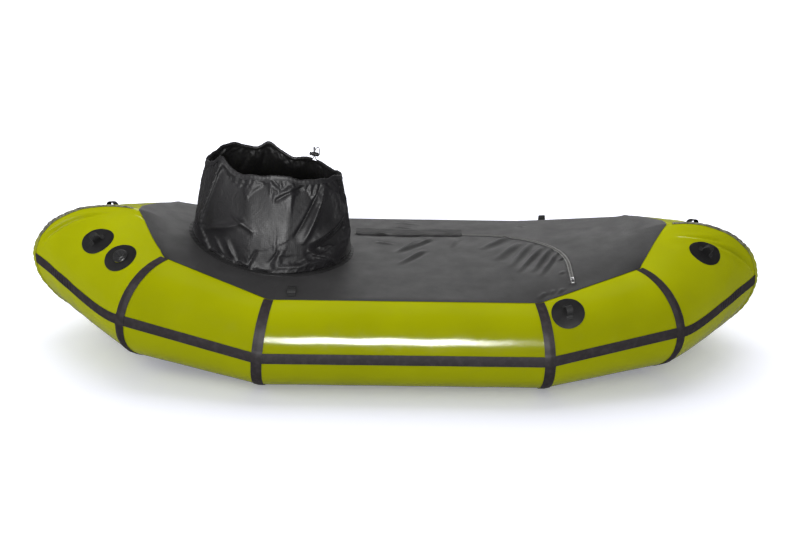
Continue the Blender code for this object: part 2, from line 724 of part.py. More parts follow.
def make_tunnel(deck):
    """The tunnel, its sewn foot and its hem. Returns the rim and the row of cloth just below it."""
    heights = np.linspace(0.0, 1.0, TUNNEL_ROWS)[:, None] * np.ones(TUNNEL_SIDES)
    turn = TUNNEL_TURN * np.ones((TUNNEL_ROWS, 1))
    inner = tunnel_points(turn, heights, 0.0, deck)
    outer = tunnel_points(turn, heights, TUNNEL_SKIN, deck)
    outer[0, :, 2] = inner[0, :, 2]
    outer[-1, :, 2] = inner[-1, :, 2]
    shell(outer, inner, "tunnel", "tunnel", wrap=True, smooth_angle=70.0)
    make_binding(deck)
    rim = Rim(inner[-1], inner[-2])
    make_hem(rim)
    return rim


def make_binding(deck):
    """The tape ring that sews the tunnel's foot to the deck."""
    clear = FOLD_AT_ENDS * (FOLD_WIDE + FOLD_FINE) + TUNNEL_SKIN + 4.0 * GAP
    rings = []
    for reach in (clear, clear + BINDING_WIDTH):
        x = TUNNEL_X + (TUNNEL_BASE[0] + reach) * np.cos(TUNNEL_TURN)
        y = (TUNNEL_BASE[1] + reach) * np.sin(TUNNEL_TURN)
        rings.append(deck.points(x, y, 2.0 * GAP))
    inner = np.array(rings)
    outer = inner + np.array([0.0, 0.0, BINDING_SKIN])
    shell(outer, inner, "tunnel_binding", "tape", wrap=True)


class Rim:
    """The tunnel's upper edge, read at any turn about the cockpit."""

    def __init__(self, rim, below):
        self.turns = np.concatenate([TUNNEL_TURN, [2.0 * math.pi]])
        self.rim = np.concatenate([rim, rim[:1]])
        fall = (below - rim) / (rim - below)[:, 2:]
        self.fall = np.concatenate([fall, fall[:1]])

    def read(self, rows, turn):
        turn = np.mod(turn, 2.0 * math.pi)
        return np.stack([np.interp(turn, self.turns, rows[:, k]) for k in range(3)], axis=-1)

    def middle(self, turn, drop=0.0):
        """The middle of the cloth on the edge, or a drop below it down the cloth."""
        face = self.read(self.rim, turn) + self.read(self.fall, turn) * drop
        return face + self.out(turn) * TUNNEL_SKIN / 2.0

    def out(self, turn):
        turn = np.asarray(turn, float)
        along, across = np.cos(turn) / TUNNEL_RIM[0], np.sin(turn) / TUNNEL_RIM[1]
        return unit(np.stack([along, across, 0.0 * turn], axis=-1))

    def turn_beside_lock(self, distance):
        """The turn a signed distance along the rim from the lock."""
        near = self.middle(np.array([LOCK_TURN - 0.02, LOCK_TURN + 0.02]))
        return LOCK_TURN + 0.04 * distance / np.linalg.norm(near[1] - near[0])

    def turns_past_lock(self, margin):
        """All the cloth's own turns, going once round from one side of the lock to the other."""
        start = self.turn_beside_lock(margin)
        end = self.turn_beside_lock(-margin) + 2.0 * math.pi
        twice = np.concatenate([TUNNEL_TURN, TUNNEL_TURN + 2.0 * math.pi])
        return np.array([start, *[t for t in twice if start + 0.02 < t < end - 0.02], end])


def make_hem(rim):
    """The channel folded over the rim: an upside-down U, open where the drawcord comes out."""
    turn = rim.turns_past_lock(HEM_MOUTH)
    out = rim.out(turn)
    up = np.array([0.0, 0.0, 1.0])
    profile = [(1.0, -HEM_DROP), (1.0, 0.0020), (0.0, HEM_RISE), (-1.0, 0.0020), (-1.0, -HEM_DROP)]
    layers = []
    for grow in (TUNNEL_SKIN, 0.0):
        rows = []
        for side, rise in profile:
            foot = rim.middle(turn, max(-rise, 0.0))
            lift = max(rise, 0.0) + (grow if side == 0.0 else 0.0)
            rows.append(foot + out * side * (HEM_HALF_WIDTH + grow) + up * lift)
        layers.append(np.array(rows))
    shell(layers[0], layers[1], "tunnel_hem", "tunnel", smooth_angle=60.0)


def cord(points, radius, name, kind):
    """A round cord through a row of points, with filled ends."""
    curve = bpy.data.curves.new(name, "CURVE")
    curve.dimensions = "3D"
    curve.bevel_depth = radius
    curve.bevel_resolution = 1
    curve.use_fill_caps = True
    spline = curve.splines.new("POLY")
    spline.points.add(len(points) - 1)
    for point, place in zip(spline.points, points):
        point.co = (*place, 1.0)
    curve.materials.append(material(name + "_" + kind, *COLOURS[kind]))
    made = bpy.data.objects.new(name, curve)
    bpy.context.scene.collection.objects.link(made)
    return made


def smooth_route(route, count):
    """Evenly spaced points on a smooth curve through the route's own points."""
    route = np.asarray(route, float)
    padded = np.concatenate([[2.0 * route[0] - route[1]], route, [2.0 * route[-1] - route[-2]]])
    dense = []
    for k in range(1, len(padded) - 2):
        before, start, end, after = padded[k - 1:k + 3]
        bend = 2.0 * before - 5.0 * start + 4.0 * end - after
        turn = 3.0 * start - before - 3.0 * end + after
        for t in np.linspace(0.0, 1.0, 12, endpoint=False):
            dense.append(start + 0.5 * ((end - before) * t + bend * t ** 2 + turn * t ** 3))
    dense = np.array([*dense, route[-1]])
    steps = np.concatenate([[0.0], np.cumsum(np.linalg.norm(np.diff(dense, axis=0), axis=1))])
    even = np.linspace(0.0, steps[-1], count)
    return np.stack([np.interp(even, steps, dense[:, k]) for k in range(3)], axis=-1)


# One side of the free cord in the lock's frame: along the rim, outward, and up from the rim
LOOP_ROUTE = [(-0.0056, 0.0, 0.0052), (-0.0034, 0.0, 0.0084), (-STRAND, 0.0, 0.0126),
              (-STRAND, 0.0, LOCK_RISE), (-STRAND, 0.0, 0.0290), (-0.0025, 0.0006, 0.0335),
              (-0.0045, 0.0045, 0.0390),
              (-0.0066, 0.0110, 0.0402), (-0.0078, 0.0172, 0.0345), (-0.0082, 0.0198, 0.0240),
              (-0.0070, 0.0205, 0.0140), (0.0, 0.0205, 0.0075)]


def make_drawcord(rim):
    """Cord inside the hem, and the free loop that runs up through the lock and hangs over behind it."""
    up = np.array([0.0, 0.0, 1.0])
    turn = rim.turns_past_lock(HEM_MOUTH + 0.0040)
    cord(rim.middle(turn) + up * CORD_RISE, CORD_RADIUS, "tunnel_drawcord", "webbing")
    base = rim.middle(LOCK_TURN)
    out = rim.out(LOCK_TURN)
    axes = np.stack([np.cross(up, out), out, up])
    half = np.array(LOOP_ROUTE)
    other = half[-2::-1] * np.array([-1.0, 1.0, 1.0])
    distances = (-HEM_MOUTH - 0.0018, -HEM_MOUTH + 0.0006, HEM_MOUTH - 0.0006, HEM_MOUTH + 0.0018)
    ends = [rim.middle(rim.turn_beside_lock(distance)) + up * CORD_RISE for distance in distances]
    route = [*ends[:2], *(np.concatenate([half, other]) @ axes + base), *ends[2:]]
    cord(smooth_route(route, 40), CORD_RADIUS, "drawcord_loop", "webbing")
    return base, axes


# Cord lock. Its frame has Z along the rim, X outward and Y down, and zero where the cord passes.

def make_cord_lock(base, axes):
    """A barrel with a sprung plunger; the cord passes through a slot in both."""
    place = frame_at(base + axes[2] * LOCK_RISE, axes[0], axes[1])
    bore = PLUNGER_RADIUS + GAP
    barrel = turned([(0.0, -0.0130), (0.0060, -0.0130), (LOCK_RADIUS, -0.0120), (LOCK_RADIUS, 0.0080),
                     (0.0060, 0.0090), (bore, 0.0090), (bore, -0.0112), (0.0, -0.0112)],
                    "cord_lock_body", "plastic", place, 16)
    cut(barrel, block((-0.0020, -0.010, -0.0039), (0.0020, 0.010, 0.0039),
                      "lock_slot_guide", "plastic", place))
    plunger = turned([(0.0, -0.0055), (PLUNGER_RADIUS, -0.0055), (PLUNGER_RADIUS, 0.0130), (0.0057, 0.0130),
                      (0.0057, 0.0148), (0.0046, 0.0158), (0.0, 0.0158)],
                     "cord_lock_plunger", "plastic", place, 16)
    cut(plunger, block((-0.0020, -0.010, -0.0041), (0.0020, 0.010, 0.0078),
                       "plunger_slot_guide", "plastic", place))
    angles = np.linspace(0.0, 2.0 * math.pi * 3.0, 25)
    coil = np.stack([0.0031 * np.cos(angles), 0.0031 * np.sin(angles),
                     np.linspace(-0.0107, -0.0060, len(angles))], axis=-1)
    cord([place @ Vector(p) for p in coil], 0.0004, "cord_lock_spring", "metal")


# Zip

def zip_line():
    """Straight along the port side, a quarter ellipse round the bow end, straight across to starboard."""
    run = np.linspace(ZIP_START_X, ZIP_BEND_X, 9)[:-1]
    bend = np.linspace(math.pi / 2.0, 0.0, 13)
    across = np.linspace(ZIP_BEND_Y, ZIP_END_Y, 5)[1:]
    bend_x = ZIP_BEND_X + (ZIP_BOW_X - ZIP_BEND_X) * np.cos(bend)
    bend_y = ZIP_BEND_Y + (ZIP_PORT_Y - ZIP_BEND_Y) * np.sin(bend)
    x = np.concatenate([run, bend_x, np.full(4, ZIP_BOW_X)])
    y = np.concatenate([np.full(8, ZIP_PORT_Y), bend_y, across])
    return np.stack([x, y], axis=-1)


def beside(line, offset):
    """The line moved sideways in plan."""
    along = unit(np.gradient(line, axis=0))
    return line + np.stack([along[:, 1], -along[:, 0]], axis=-1) * offset


def make_zip(deck):
    """Zip tape on the deck, the closed coil on it, the slider with its pull, and the end stop."""
    line = zip_line()
    columns = [beside(line, offset) for offset in (-ZIP_TAPE_WIDTH / 2.0, 0.0, ZIP_TAPE_WIDTH / 2.0)]
    low = np.stack([deck.points(c[:, 0], c[:, 1], ZIP_TAPE_LIFT) for c in columns], axis=1)
    shell(low + np.array([0.0, 0.0, 0.0006]), low, "zip_tape", "zip")
    inner = line[:-1]
    corners = []
    for offset, lift in ((-0.5, 0.0), (0.5, 0.0), (0.5, ZIP_COIL_HEIGHT), (-0.5, ZIP_COIL_HEIGHT)):
        moved = beside(inner, offset * ZIP_COIL_WIDTH)
        corners.append(deck.points(moved[:, 0], moved[:, 1], ZIP_COIL_LIFT + lift))
    closed_sweep(np.stack(corners, axis=1), "zip_coil", "zip")
    make_slider(deck)


def deck_frame(deck, x, y, along):
    """A placing matrix on the deck: Y along the zip, Z square to the deck."""
    ahead, behind = deck.points([x + 0.006, x - 0.006], [y, y], 0.0)
    across = unit(ahead - behind)
    return frame_at(deck.points([x], [y], 0.0)[0], np.cross(across, along), across)


def make_slider(deck):
    """Slider over the coil, its pull on a bar between two lugs, and the stop at the zip's end."""
    start, end = deck.points([ZIP_BOW_X] * 2, [SLIDER_START_Y, SLIDER_END_Y], 0.0)
    along = unit(end - start)
    place = deck_frame(deck, ZIP_BOW_X, SLIDER_START_Y, along) @ Matrix.Translation((0.0, 0.0, SLIDER_LIFT))
    base = ZIP_COIL_LIFT + GAP
    top = ZIP_COIL_LIFT + ZIP_COIL_HEIGHT + 0.0009
    roof = top + 0.0016
    outline = [(-0.0056, base), (-0.0039, base), (-0.0039, top), (0.0039, top), (0.0039, base),
               (0.0056, base), (0.0056, roof), (-0.0056, roof)]
    half = SLIDER_LENGTH / 2.0
    sections = np.array([[(x, y, z) for x, z in outline] for y in (-half, half)])
    slider = closed_sweep(sections, "zip_slider", "metal")
    slider.matrix_world = place
    lug_top = roof + 0.0032
    for label, side in (("left", -1.0), ("right", 1.0)):
        lug = block((side * 0.0044 - 0.0006, -0.0016, top + 0.0008),
                    (side * 0.0044 + 0.0006, 0.0016, lug_top),
                    "slider_lug_" + label + "_guide", "metal", place, 0.0002)
        join(slider, lug)
    pin_height = lug_top - 0.0012
    pin_place = place @ Matrix.Translation((0.0, 0.0, pin_height)) @ Matrix.Rotation(math.pi / 2.0, 4, "Y")
    join(slider, turned([(0.0, -0.0042), (0.0006, -0.0042), (0.0006, 0.0042), (0.0, 0.0042)],
                        "slider_pin_guide", "metal", pin_place, 8))
    pull = block((-0.0030, -PULL_LENGTH, pin_height - 0.0011), (0.0030, 0.0014, pin_height + 0.0011),
                 "zip_pull", "webbing", place, 0.0004)
    cut(pull, turned([(0.0, -0.0060), (0.0008, -0.0060), (0.0008, 0.0060), (0.0, 0.0060)],
                     "pull_bore_guide", "metal", pin_place, 8))
    block((-0.0045, -0.0025, base), (0.0045, 0.0025, base + 0.0022), "zip_stop", "metal",
          deck_frame(deck, ZIP_BOW_X, ZIP_END_Y + 0.0045, along), 0.0005)


# Storm flap across its width: sideways from the coil, and height over the deck
FLAP_PROFILE = [(0.052, 0.0008), (0.030, 0.0024), (0.012, 0.0042), (0.0, 0.0046), (-0.015, 0.0028)]


def make_flap(deck):
    """The storm flap: sewn along the zip's port side, bowed over the coil, loose on the inner side."""
    x = np.linspace(FLAP_START_X, FLAP_END_X, 8)
    rows = [deck.points(x, np.full(8, ZIP_PORT_Y + side), lift) for side, lift in FLAP_PROFILE]
    low = np.stack(rows, axis=1)
    shell(low + np.array([0.0, 0.0, 0.0008]), low, "zip_flap", "deck")


def make_deck_tabs(deck):
    """A length of webbing sewn on the deck by the cockpit on each side, with a raised loop in its middle."""
    turn = np.linspace(0.0, math.pi, 9)
    middle = (TAB_INNER_Y + TAB_OUTER_Y) / 2.0
    arch = middle + 0.014 * np.cos(turn)
    y = np.concatenate([[TAB_INNER_Y, middle + 0.016], arch, [middle - 0.016, TAB_OUTER_Y]])
    rise = np.concatenate([[0.0, 0.0], 0.0008 + TAB_RISE * np.sin(turn), [0.0, 0.0]])
    path = deck.points(np.full(y.shape, TAB_X), y, 3.0 * GAP + WEBBING / 2.0)
    path[:, 2] += rise
    for side, port in SIDES:
        strap(sided(path, port), (1.0, 0.0, 0.0), WEBBING, TAB_WIDTH, "deck_tab_" + side, "webbing")


# Seat

def pad_outline(count, width, top, bottom, channel):
    """A crowned outline: flat-ended oval with two sewn channels that draw the upper side in."""
    turn = np.linspace(0.0, 2.0 * math.pi, count, endpoint=False)
    c, s = np.cos(turn), np.sin(turn)
    y = width * np.sign(c) * np.abs(c) ** 0.75
    seams = np.exp(-((np.abs(y / width) - 0.36) / 0.09) ** 2)
    z = np.where(s > 0.0, top * np.abs(s) ** 0.8 * (1.0 - channel * seams), -bottom * np.abs(s) ** 0.6)
    return np.stack([y, z], axis=-1)


def swell(t):
    """Fullness of an inflated pad from end to end: nearly flat, and rounding down at both ends."""
    return np.sqrt(np.clip(1.0 - np.abs(2.0 * t - 1.0) ** 4, 0.06, 1.0))


def crowded_to_ends(count):
    return 0.5 - 0.5 * np.cos(math.pi * np.linspace(0.0, 1.0, count))


def make_seat(floor):
    """Seat cushion on the floor, narrower to the stern where the tubes close in, and its air valve."""
    rings = []
    for t in crowded_to_ends(13):
        x = SEAT_BACK_X + (SEAT_FRONT_X - SEAT_BACK_X) * t
        full = swell(t)
        width = SEAT_BACK_HALF_WIDTH + (SEAT_HALF_WIDTH - SEAT_BACK_HALF_WIDTH) * min(1.6 * t, 1.0)
        outline = pad_outline(32, width * (0.80 + 0.20 * full), SEAT_CROWN * full, SEAT_BELLY * full, 0.30)
        ring = np.column_stack([np.full(32, x), outline[:, 0], outline[:, 1] + SEAT_MIDDLE_Z])
        low = floor.points(ring[:, 0], ring[:, 1], 4.0 * GAP)[:, 2]
        ring[:, 2] = np.maximum(ring[:, 2], low)
        rings.append(ring)
    seat = closed_sweep(np.array(rings), "seat_cushion", "seat", 60.0)
    place = Matrix.Translation((*SEAT_VALVE, 0.0))
    cut(seat, turned([(0.0, 0.035), (0.0065, 0.035), (0.0065, 0.12), (0.0, 0.12)],
                     "seat_bore_guide", "seat", place, 16))
    turned([(0.0, 0.0400), (0.0062, 0.0400), (0.0062, 0.0790), (0.0100, 0.0790),
            (0.0100, 0.0830), (0.0060, 0.0830), (0.0060, 0.0880), (0.0, 0.0880)],
           "seat_valve_stem", "plastic", place, 16)


def make_backrest():
    """Backrest pad standing behind the seat, with its hinge line along its lower front edge."""
    front, low = BACKREST_AXIS
    rings = []
    for t in crowded_to_ends(11):
        half = BACKREST_THICK / 2.0 * swell(t)
        outline = pad_outline(28, BACKREST_HALF_WIDTH * (0.82 + 0.18 * swell(t)), half, half, 0.25)
        height = np.full(28, low + 0.002 + BACKREST_HEIGHT * t)
        rings.append(np.column_stack([front - BACKREST_THICK / 2.0 + outline[:, 1], outline[:, 0], height]))
    closed_sweep(np.array(rings), "backrest", "seat", 60.0)


def main():
    clear_scene()
    make_tubes()
    make_equator_tape()
    make_ring_tapes()
    make_seam_tapes()
    shape = HullShape()
    deck = make_deck(shape)
    floor = make_floor(shape)
    make_patches()
    make_valve()
    rim = make_tunnel(deck)
    make_cord_lock(*make_drawcord(rim))
    make_zip(deck)
    make_flap(deck)
    make_deck_tabs(deck)
    make_seat(floor)
    make_backrest()


main()
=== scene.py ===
"""The look of a decked packraft: tubes, taped seams, spray deck, cockpit tunnel, valve, zip and seat.

Metres, +Z up, +X to the bow. The origin is on the ground under the middle of the hull.
The hull is worked out for the starboard side (negative Y) and mirrored to port.
"""

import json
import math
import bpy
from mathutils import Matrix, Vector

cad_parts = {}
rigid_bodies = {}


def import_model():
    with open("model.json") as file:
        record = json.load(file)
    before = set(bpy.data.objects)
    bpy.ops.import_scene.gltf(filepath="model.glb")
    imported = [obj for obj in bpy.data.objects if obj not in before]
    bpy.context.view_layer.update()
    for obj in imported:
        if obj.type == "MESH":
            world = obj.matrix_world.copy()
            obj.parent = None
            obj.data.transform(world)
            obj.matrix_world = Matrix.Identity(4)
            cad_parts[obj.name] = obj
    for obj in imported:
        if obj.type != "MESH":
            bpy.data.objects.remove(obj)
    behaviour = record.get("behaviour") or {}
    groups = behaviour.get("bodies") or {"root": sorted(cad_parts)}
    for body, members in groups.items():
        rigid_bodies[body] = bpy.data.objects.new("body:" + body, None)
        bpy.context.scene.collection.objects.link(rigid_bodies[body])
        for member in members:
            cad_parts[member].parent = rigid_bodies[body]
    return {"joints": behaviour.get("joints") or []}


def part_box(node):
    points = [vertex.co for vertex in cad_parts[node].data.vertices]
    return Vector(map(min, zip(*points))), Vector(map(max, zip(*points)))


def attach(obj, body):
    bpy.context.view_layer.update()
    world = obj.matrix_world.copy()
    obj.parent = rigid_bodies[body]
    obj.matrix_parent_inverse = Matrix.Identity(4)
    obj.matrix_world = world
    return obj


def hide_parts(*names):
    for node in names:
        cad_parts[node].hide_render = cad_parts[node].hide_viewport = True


bl_info = {
    "name": "Decked packraft",
    "version": (1, 0, 0),
    "blender": (4, 5, 0),
    "location": "View3D > Sidebar > Packraft",
    "description": "Dresses the frame of a decked packraft with its inflated, sewn and moulded pieces",
    "category": "Object",
}

import bmesh
import bpy
import numpy as np
from mathutils import Matrix, Vector

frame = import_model()
JOINTS = {joint["name"]: joint for joint in frame["joints"]}

# Thicknesses of the cloths, the gap between pieces, and how near points are when they become one
GAP = 0.0003
MERGE = 0.000002
FINE_THREAD = 0.00022
TUBE_SKIN = 0.0012
TAPE_SKIN = 0.0008
PATCH_SKIN = 0.0008
DECK_SKIN = 0.0010
TUNNEL_SKIN = 0.0008
FLOOR_SKIN = 0.0016
LIFT = FLOOR_SKIN + 2.0 * GAP

# Tubes: a straight middle, then a quarter and an end segment that swells to the seam on the centreline
TUBE_RADIUS = 0.136
MID_CENTRE_Y = 0.323
STERN_RING_X = -0.3856
BOW_RING_X = 0.4134
STERN = {"joint": (-0.7126, 0.226, 0.196), "joint_radius": 0.158, "tip": (-0.8656, 0.236),
         "tip_radius": 0.190, "tip_stretch": 1.155, "fullness": 1.1, "deck_at_joint": 88.0,
         "deck_at_tip": 104.0, "deck_bend": 0.45}
BOW = {"joint": (0.7304, 0.210, 0.176), "joint_radius": 0.157, "tip": (0.8694, 0.203),
       "tip_radius": 0.196, "tip_stretch": 1.11, "fullness": 1.6, "deck_at_joint": 88.0,
       "deck_at_tip": 98.0, "deck_bend": 0.55}
DECK_AT_MIDDLE = 80.5
PORT_DECK_OUT = 13.0
FLOOR_AT_TUBE = -78.0
FLOOR_FLAT = 0.004
FLOOR_BLEND = 0.020
END_STEPS = 6
SHEET_EVERY = 0.006
COARSE_PASSES = 1500
FINE_PASSES = 500
DECK_COLUMNS = 121
FLOOR_COLUMNS = 76

# Tapes over the seams
TAPE_HALF_WIDTH = 0.016
SEAM_TAPE_HALF_WIDTH = 0.013
RING_TAPE_LOW = -72.0
EQUATOR_LIFT = 0.0005
RING_LIFT = 0.0008
BRIDGE_LIFT = 0.0012
LADDER_PITCH = 0.0140
LADDER_FROM_TIP = 0.165
LADDER_REACH = 0.060
PLEAT_PITCH = 0.0220

# Round patches, by station along the hull and angle round the tube
PATCH_RADIUS = 0.050
PATCH_LIFT = 0.0007
PATCHES = {"stern": (2.35, 55.0), "bow": (13.35, 54.0), "mid": (8.19, 55.0)}
VALVE_PLACE = (4.05, 59.0)
VALVE_HOLE = 0.0195
LOOP_WIDTH = 0.020
LOOP_SPAN = 0.026
LOOP_HEIGHT = 0.020
LOOP_FOOT = 0.010
WEBBING = 0.0016

# Tunnel round the paddler, standing on the deck
TUNNEL_X = -0.3916
TUNNEL_BASE = (0.233, 0.210)
TUNNEL_RIM = (0.203, 0.128)
TUNNEL_RIM_X = -0.3816
TUNNEL_RIM_Z = 0.562
FOOT_MARGIN = 0.010
UNROLLED_RADIUS = 0.215
UNROLLED_HEIGHT = 0.28
TUNNEL_ROWS = 45
TUNNEL_COLUMNS = 220
SETTLE_FRAMES = 24
SETTLE_LIMIT = 0.008
BINDING_WIDTH = 0.015
HEM_HALF_WIDTH = 0.0028
HEM_DROP = 0.0070
HEM_RISE = 0.0056
HEM_MOUTH = 0.0085

# Drawcord, in the lock's frame: along the rim, outward, and up from the rim
CORD_RADIUS = 0.0015
CORD_RISE = 0.0030
LOCK_TURN = math.radians(55.0)
RIM_REACH_AT_LOCK = 0.145
STRAND = 0.0019
LOCK_RISE = 0.0205
LOOP_ROUTE = [(-0.0056, 0.0, 0.0052), (-0.0034, 0.0, 0.0084), (-STRAND, 0.0, 0.0126),
              (-STRAND, 0.0, LOCK_RISE), (-STRAND, 0.0, 0.0290), (-0.0025, 0.0006, 0.0335),
              (-0.0045, 0.0045, 0.0390), (-0.0066, 0.0110, 0.0402), (-0.0078, 0.0172, 0.0345),
              (-0.0082, 0.0198, 0.0240), (-0.0070, 0.0205, 0.0140), (0.0, 0.0205, 0.0075)]

# Entry zip in the deck: forward along the port side, round a bend, and across to starboard
ZIP_START_X = -0.1386
ZIP_PORT_Y = 0.180
ZIP_BEND_X = 0.190
ZIP_BOW_X = 0.5145
ZIP_BEND_Y = -0.150
ZIP_END_Y = -0.266
ZIP_TAPE_WIDTH = 0.022
ZIP_TAPE_LIFT = 0.0006
ZIP_COIL_LIFT = 0.0018
ZIP_COIL_WIDTH = 0.006
ZIP_COIL_HEIGHT = 0.0016
ZIP_PITCH = 0.0020
FLAP_START_X = -0.1336
FLAP_END_X = 0.2084
FLAP_PROFILE = [(0.052, 0.0008), (0.030, 0.0024), (0.012, 0.0042), (0.0, 0.0046), (-0.015, 0.0028)]

# Webbing tabs on the deck beside the cockpit
TAB_X = -0.3126
TAB_INNER_Y = -0.278
TAB_OUTER_Y = -0.334
TAB_WIDTH = 0.025
TAB_RISE = 0.0085

# Seat
SEAT_BACK_X = -0.5286
SEAT_FRONT_X = -0.1986
SEAT_HALF_WIDTH = 0.160
SEAT_BACK_HALF_WIDTH = 0.112
SEAT_CROWN = 0.050
SEAT_BELLY = 0.026
SEAT_MIDDLE_Z = 0.029
SEAT_VALVE = (-0.2686, -0.100)
BACKREST_AXIS = (-0.5356, 0.108)
BACKREST_HEIGHT = 0.205
BACKREST_THICK = 0.052
BACKREST_HALF_WIDTH = 0.106

# Folds in the deck, each from one point to another in plan, with its half width and height
DECK_FOLDS = [
    ((0.109, 0.142), (0.007, 0.015), 0.0062, 0.0044),
    ((0.076, 0.129), (-0.009, 0.004), 0.0070, 0.0046),
    ((0.086, 0.030), (-0.002, -0.095), 0.0062, 0.0040),
    ((0.188, 0.127), (0.169, 0.055), 0.0055, 0.0024),
    ((0.352, 0.134), (0.258, 0.028), 0.0110, 0.0040),
    ((0.384, 0.068), (0.296, -0.071), 0.0115, 0.0042),
    ((0.420, 0.059), (0.340, -0.127), 0.0085, 0.0044),
    ((0.448, 0.008), (0.360, -0.167), 0.0062, 0.0042),
    ((0.475, -0.006), (0.403, -0.173), 0.0068, 0.0046),
    ((0.490, -0.050), (0.423, -0.203), 0.0055, 0.0036),
    ((0.501, -0.094), (0.488, -0.109), 0.0045, 0.0020),
    ((0.499, -0.184), (0.480, -0.201), 0.0045, 0.0018),
    ((0.430, -0.300), (0.404, -0.337), 0.0055, 0.0024),
    ((0.456, -0.289), (0.446, -0.313), 0.0045, 0.0018),
    ((0.483, -0.286), (0.465, -0.313), 0.0050, 0.0022),
    ((-0.007, 0.306), (0.075, 0.288), 0.0055, 0.0020),
    ((-0.007, 0.262), (0.057, 0.245), 0.0055, 0.0020),
    ((-0.070, 0.098), (-0.007, 0.077), 0.0060, 0.0024),
    ((-0.070, 0.180), (-0.018, 0.167), 0.0055, 0.0020),
    ((0.398, 0.268), (0.414, 0.233), 0.0050, 0.0022),
]

# Folds in the tunnel, each from one turn in degrees and share of the height to another, with its half
# width and how far it stands out. A shallow valley lies to its left, seen along the fold.
TUNNEL_FOLDS = [
    ((295.0, 0.33), (320.0, 0.98), 0.0120, 0.0110),
    ((289.0, 0.40), (316.0, 0.98), 0.0055, -0.0070),
    ((273.0, 0.76), (299.0, 0.96), 0.0060, -0.0050),
    ((279.0, 0.88), (269.0, 1.00), 0.0045, -0.0040),
    ((346.0, 0.66), (300.0, 0.33), 0.0150, 0.0105),
    ((340.0, 0.42), (298.0, 0.20), 0.0260, -0.0120),
    ((252.0, 0.53), (216.0, 0.20), 0.0130, 0.0085),
    ((260.0, 0.42), (240.0, 0.57), 0.0080, 0.0050),
    ((262.0, 0.24), (255.0, 0.03), 0.0055, -0.0060),
    ((278.0, 0.27), (271.0, 0.10), 0.0045, -0.0045),
    ((224.0, 0.99), (209.0, 0.26), 0.0095, 0.0080),
    ((197.0, 0.92), (207.0, 0.22), 0.0080, 0.0065),
    ((331.0, 0.99), (352.0, 0.66), 0.0055, 0.0050),
    ((342.0, 0.97), (360.0, 0.55), 0.0055, 0.0045),
    ((322.0, 0.97), (336.0, 0.80), 0.0055, -0.0040),
    ((300.0, 0.26), (315.0, 0.15), 0.0080, 0.0080),
    ((312.0, 0.20), (327.0, 0.02), 0.0070, 0.0065),
    ((237.0, 0.26), (246.0, 0.03), 0.0080, 0.0065),
    ((227.0, 0.20), (236.0, 0.03), 0.0070, 0.0050),
]

# Where the tunnel's rim stands high or low: turn in degrees, half width in degrees and height
RIM_WAVES = [(97.0, 9.0, 0.026), (131.0, 14.0, 0.019), (74.0, 8.0, -0.010), (32.0, 12.0, -0.011),
             (180.0, 14.0, -0.009), (222.0, 11.0, 0.036), (275.0, 12.0, 0.010), (300.0, 55.0, 0.013),
             (335.0, 14.0, 0.008)]

# Long creases in the end segments: station and angle at both ends, half width and depth
CREASES = [
    ((0.30, 16.0), (0.85, 80.0), 0.0090, 0.0070),
    ((14.85, 10.0), (13.9, 62.0), 0.0095, 0.0080),
    ((14.4, 50.0), (13.7, 84.0), 0.0090, 0.0040),
]

# Studio: strength of the even light all round, and of what shows of the surroundings in reflections
DOME = 0.55
REFLECTED = 0.12
FLOOR_REFLECTED = 0.18


def colour_setting(name, description, default):
    """A colour to be set in the panel."""
    return bpy.props.FloatVectorProperty(name=name, description=description, subtype="COLOR", size=3,
                                         min=0.0, max=1.0, default=default)


class HullSettings(bpy.types.PropertyGroup):
    """Colours and gloss of the tubes and their tapes."""

    lime: colour_setting("Tube colour", "Colour of the coated cloth of the tubes", (0.394, 0.420, 0.0))
    tape: colour_setting("Tape colour", "Colour of the tapes over the seams", (0.024, 0.017, 0.019))
    roughness: bpy.props.FloatProperty(
        name="Tube roughness", description="How dull the coating of the tubes is", subtype="FACTOR",
        min=0.05, max=1.0, default=0.13)
    pleat: bpy.props.FloatProperty(
        name="Pleat height", description="How far the pleats stand out beside the end seams",
        subtype="DISTANCE", unit="LENGTH", min=0.0, max=0.006, default=0.0009)


class ClothSettings(bpy.types.PropertyGroup):
    """Colours of the loose and taut cloths, and the slack in them."""

    deck: colour_setting("Deck colour", "Colour of the spray deck", (0.0262, 0.0254, 0.0262))
    tunnel: colour_setting("Tunnel colour", "Colour of the cockpit tunnel", (0.020, 0.019, 0.021))
    seat: colour_setting("Seat colour", "Colour of the seat and backrest", (0.030, 0.030, 0.032))
    slack: bpy.props.FloatProperty(
        name="Tunnel slack", description="Spare cloth in the tunnel, as a share of its size",
        subtype="FACTOR", min=0.0, max=0.2, default=0.045)
    fold: bpy.props.FloatProperty(
        name="Deck folds", description="Height of the deck's folds, as a share of their drawn height",
        subtype="FACTOR", min=0.0, max=3.0, default=1.7)


class StageSettings(bpy.types.PropertyGroup):
    """Camera and light."""

    distance: bpy.props.FloatProperty(
        name="Camera distance", description="From the camera to the middle of the boat",
        subtype="DISTANCE", unit="LENGTH", min=1.0, max=20.0, default=4.50)
    elevation: bpy.props.FloatProperty(
        name="Camera elevation", description="Angle of the view above the horizon",
        subtype="ANGLE", min=0.0, max=1.5, default=math.radians(21.6))
    lens: bpy.props.FloatProperty(
        name="Lens", description="Focal length of the camera in millimetres", min=20.0, max=200.0,
        default=64.7)
    light: bpy.props.FloatProperty(
        name="Light level", description="Strength of all the lamps", min=0.0, max=5.0, default=1.0)


class PackraftSettings(bpy.types.PropertyGroup):
    """All the settings of the boat."""

    hull: bpy.props.PointerProperty(type=HullSettings)
    cloth: bpy.props.PointerProperty(type=ClothSettings)
    stage: bpy.props.PointerProperty(type=StageSettings)


# Points and lines

UP = np.array([0.0, 0.0, 1.0])
SIDES = (("port", True), ("starboard", False))


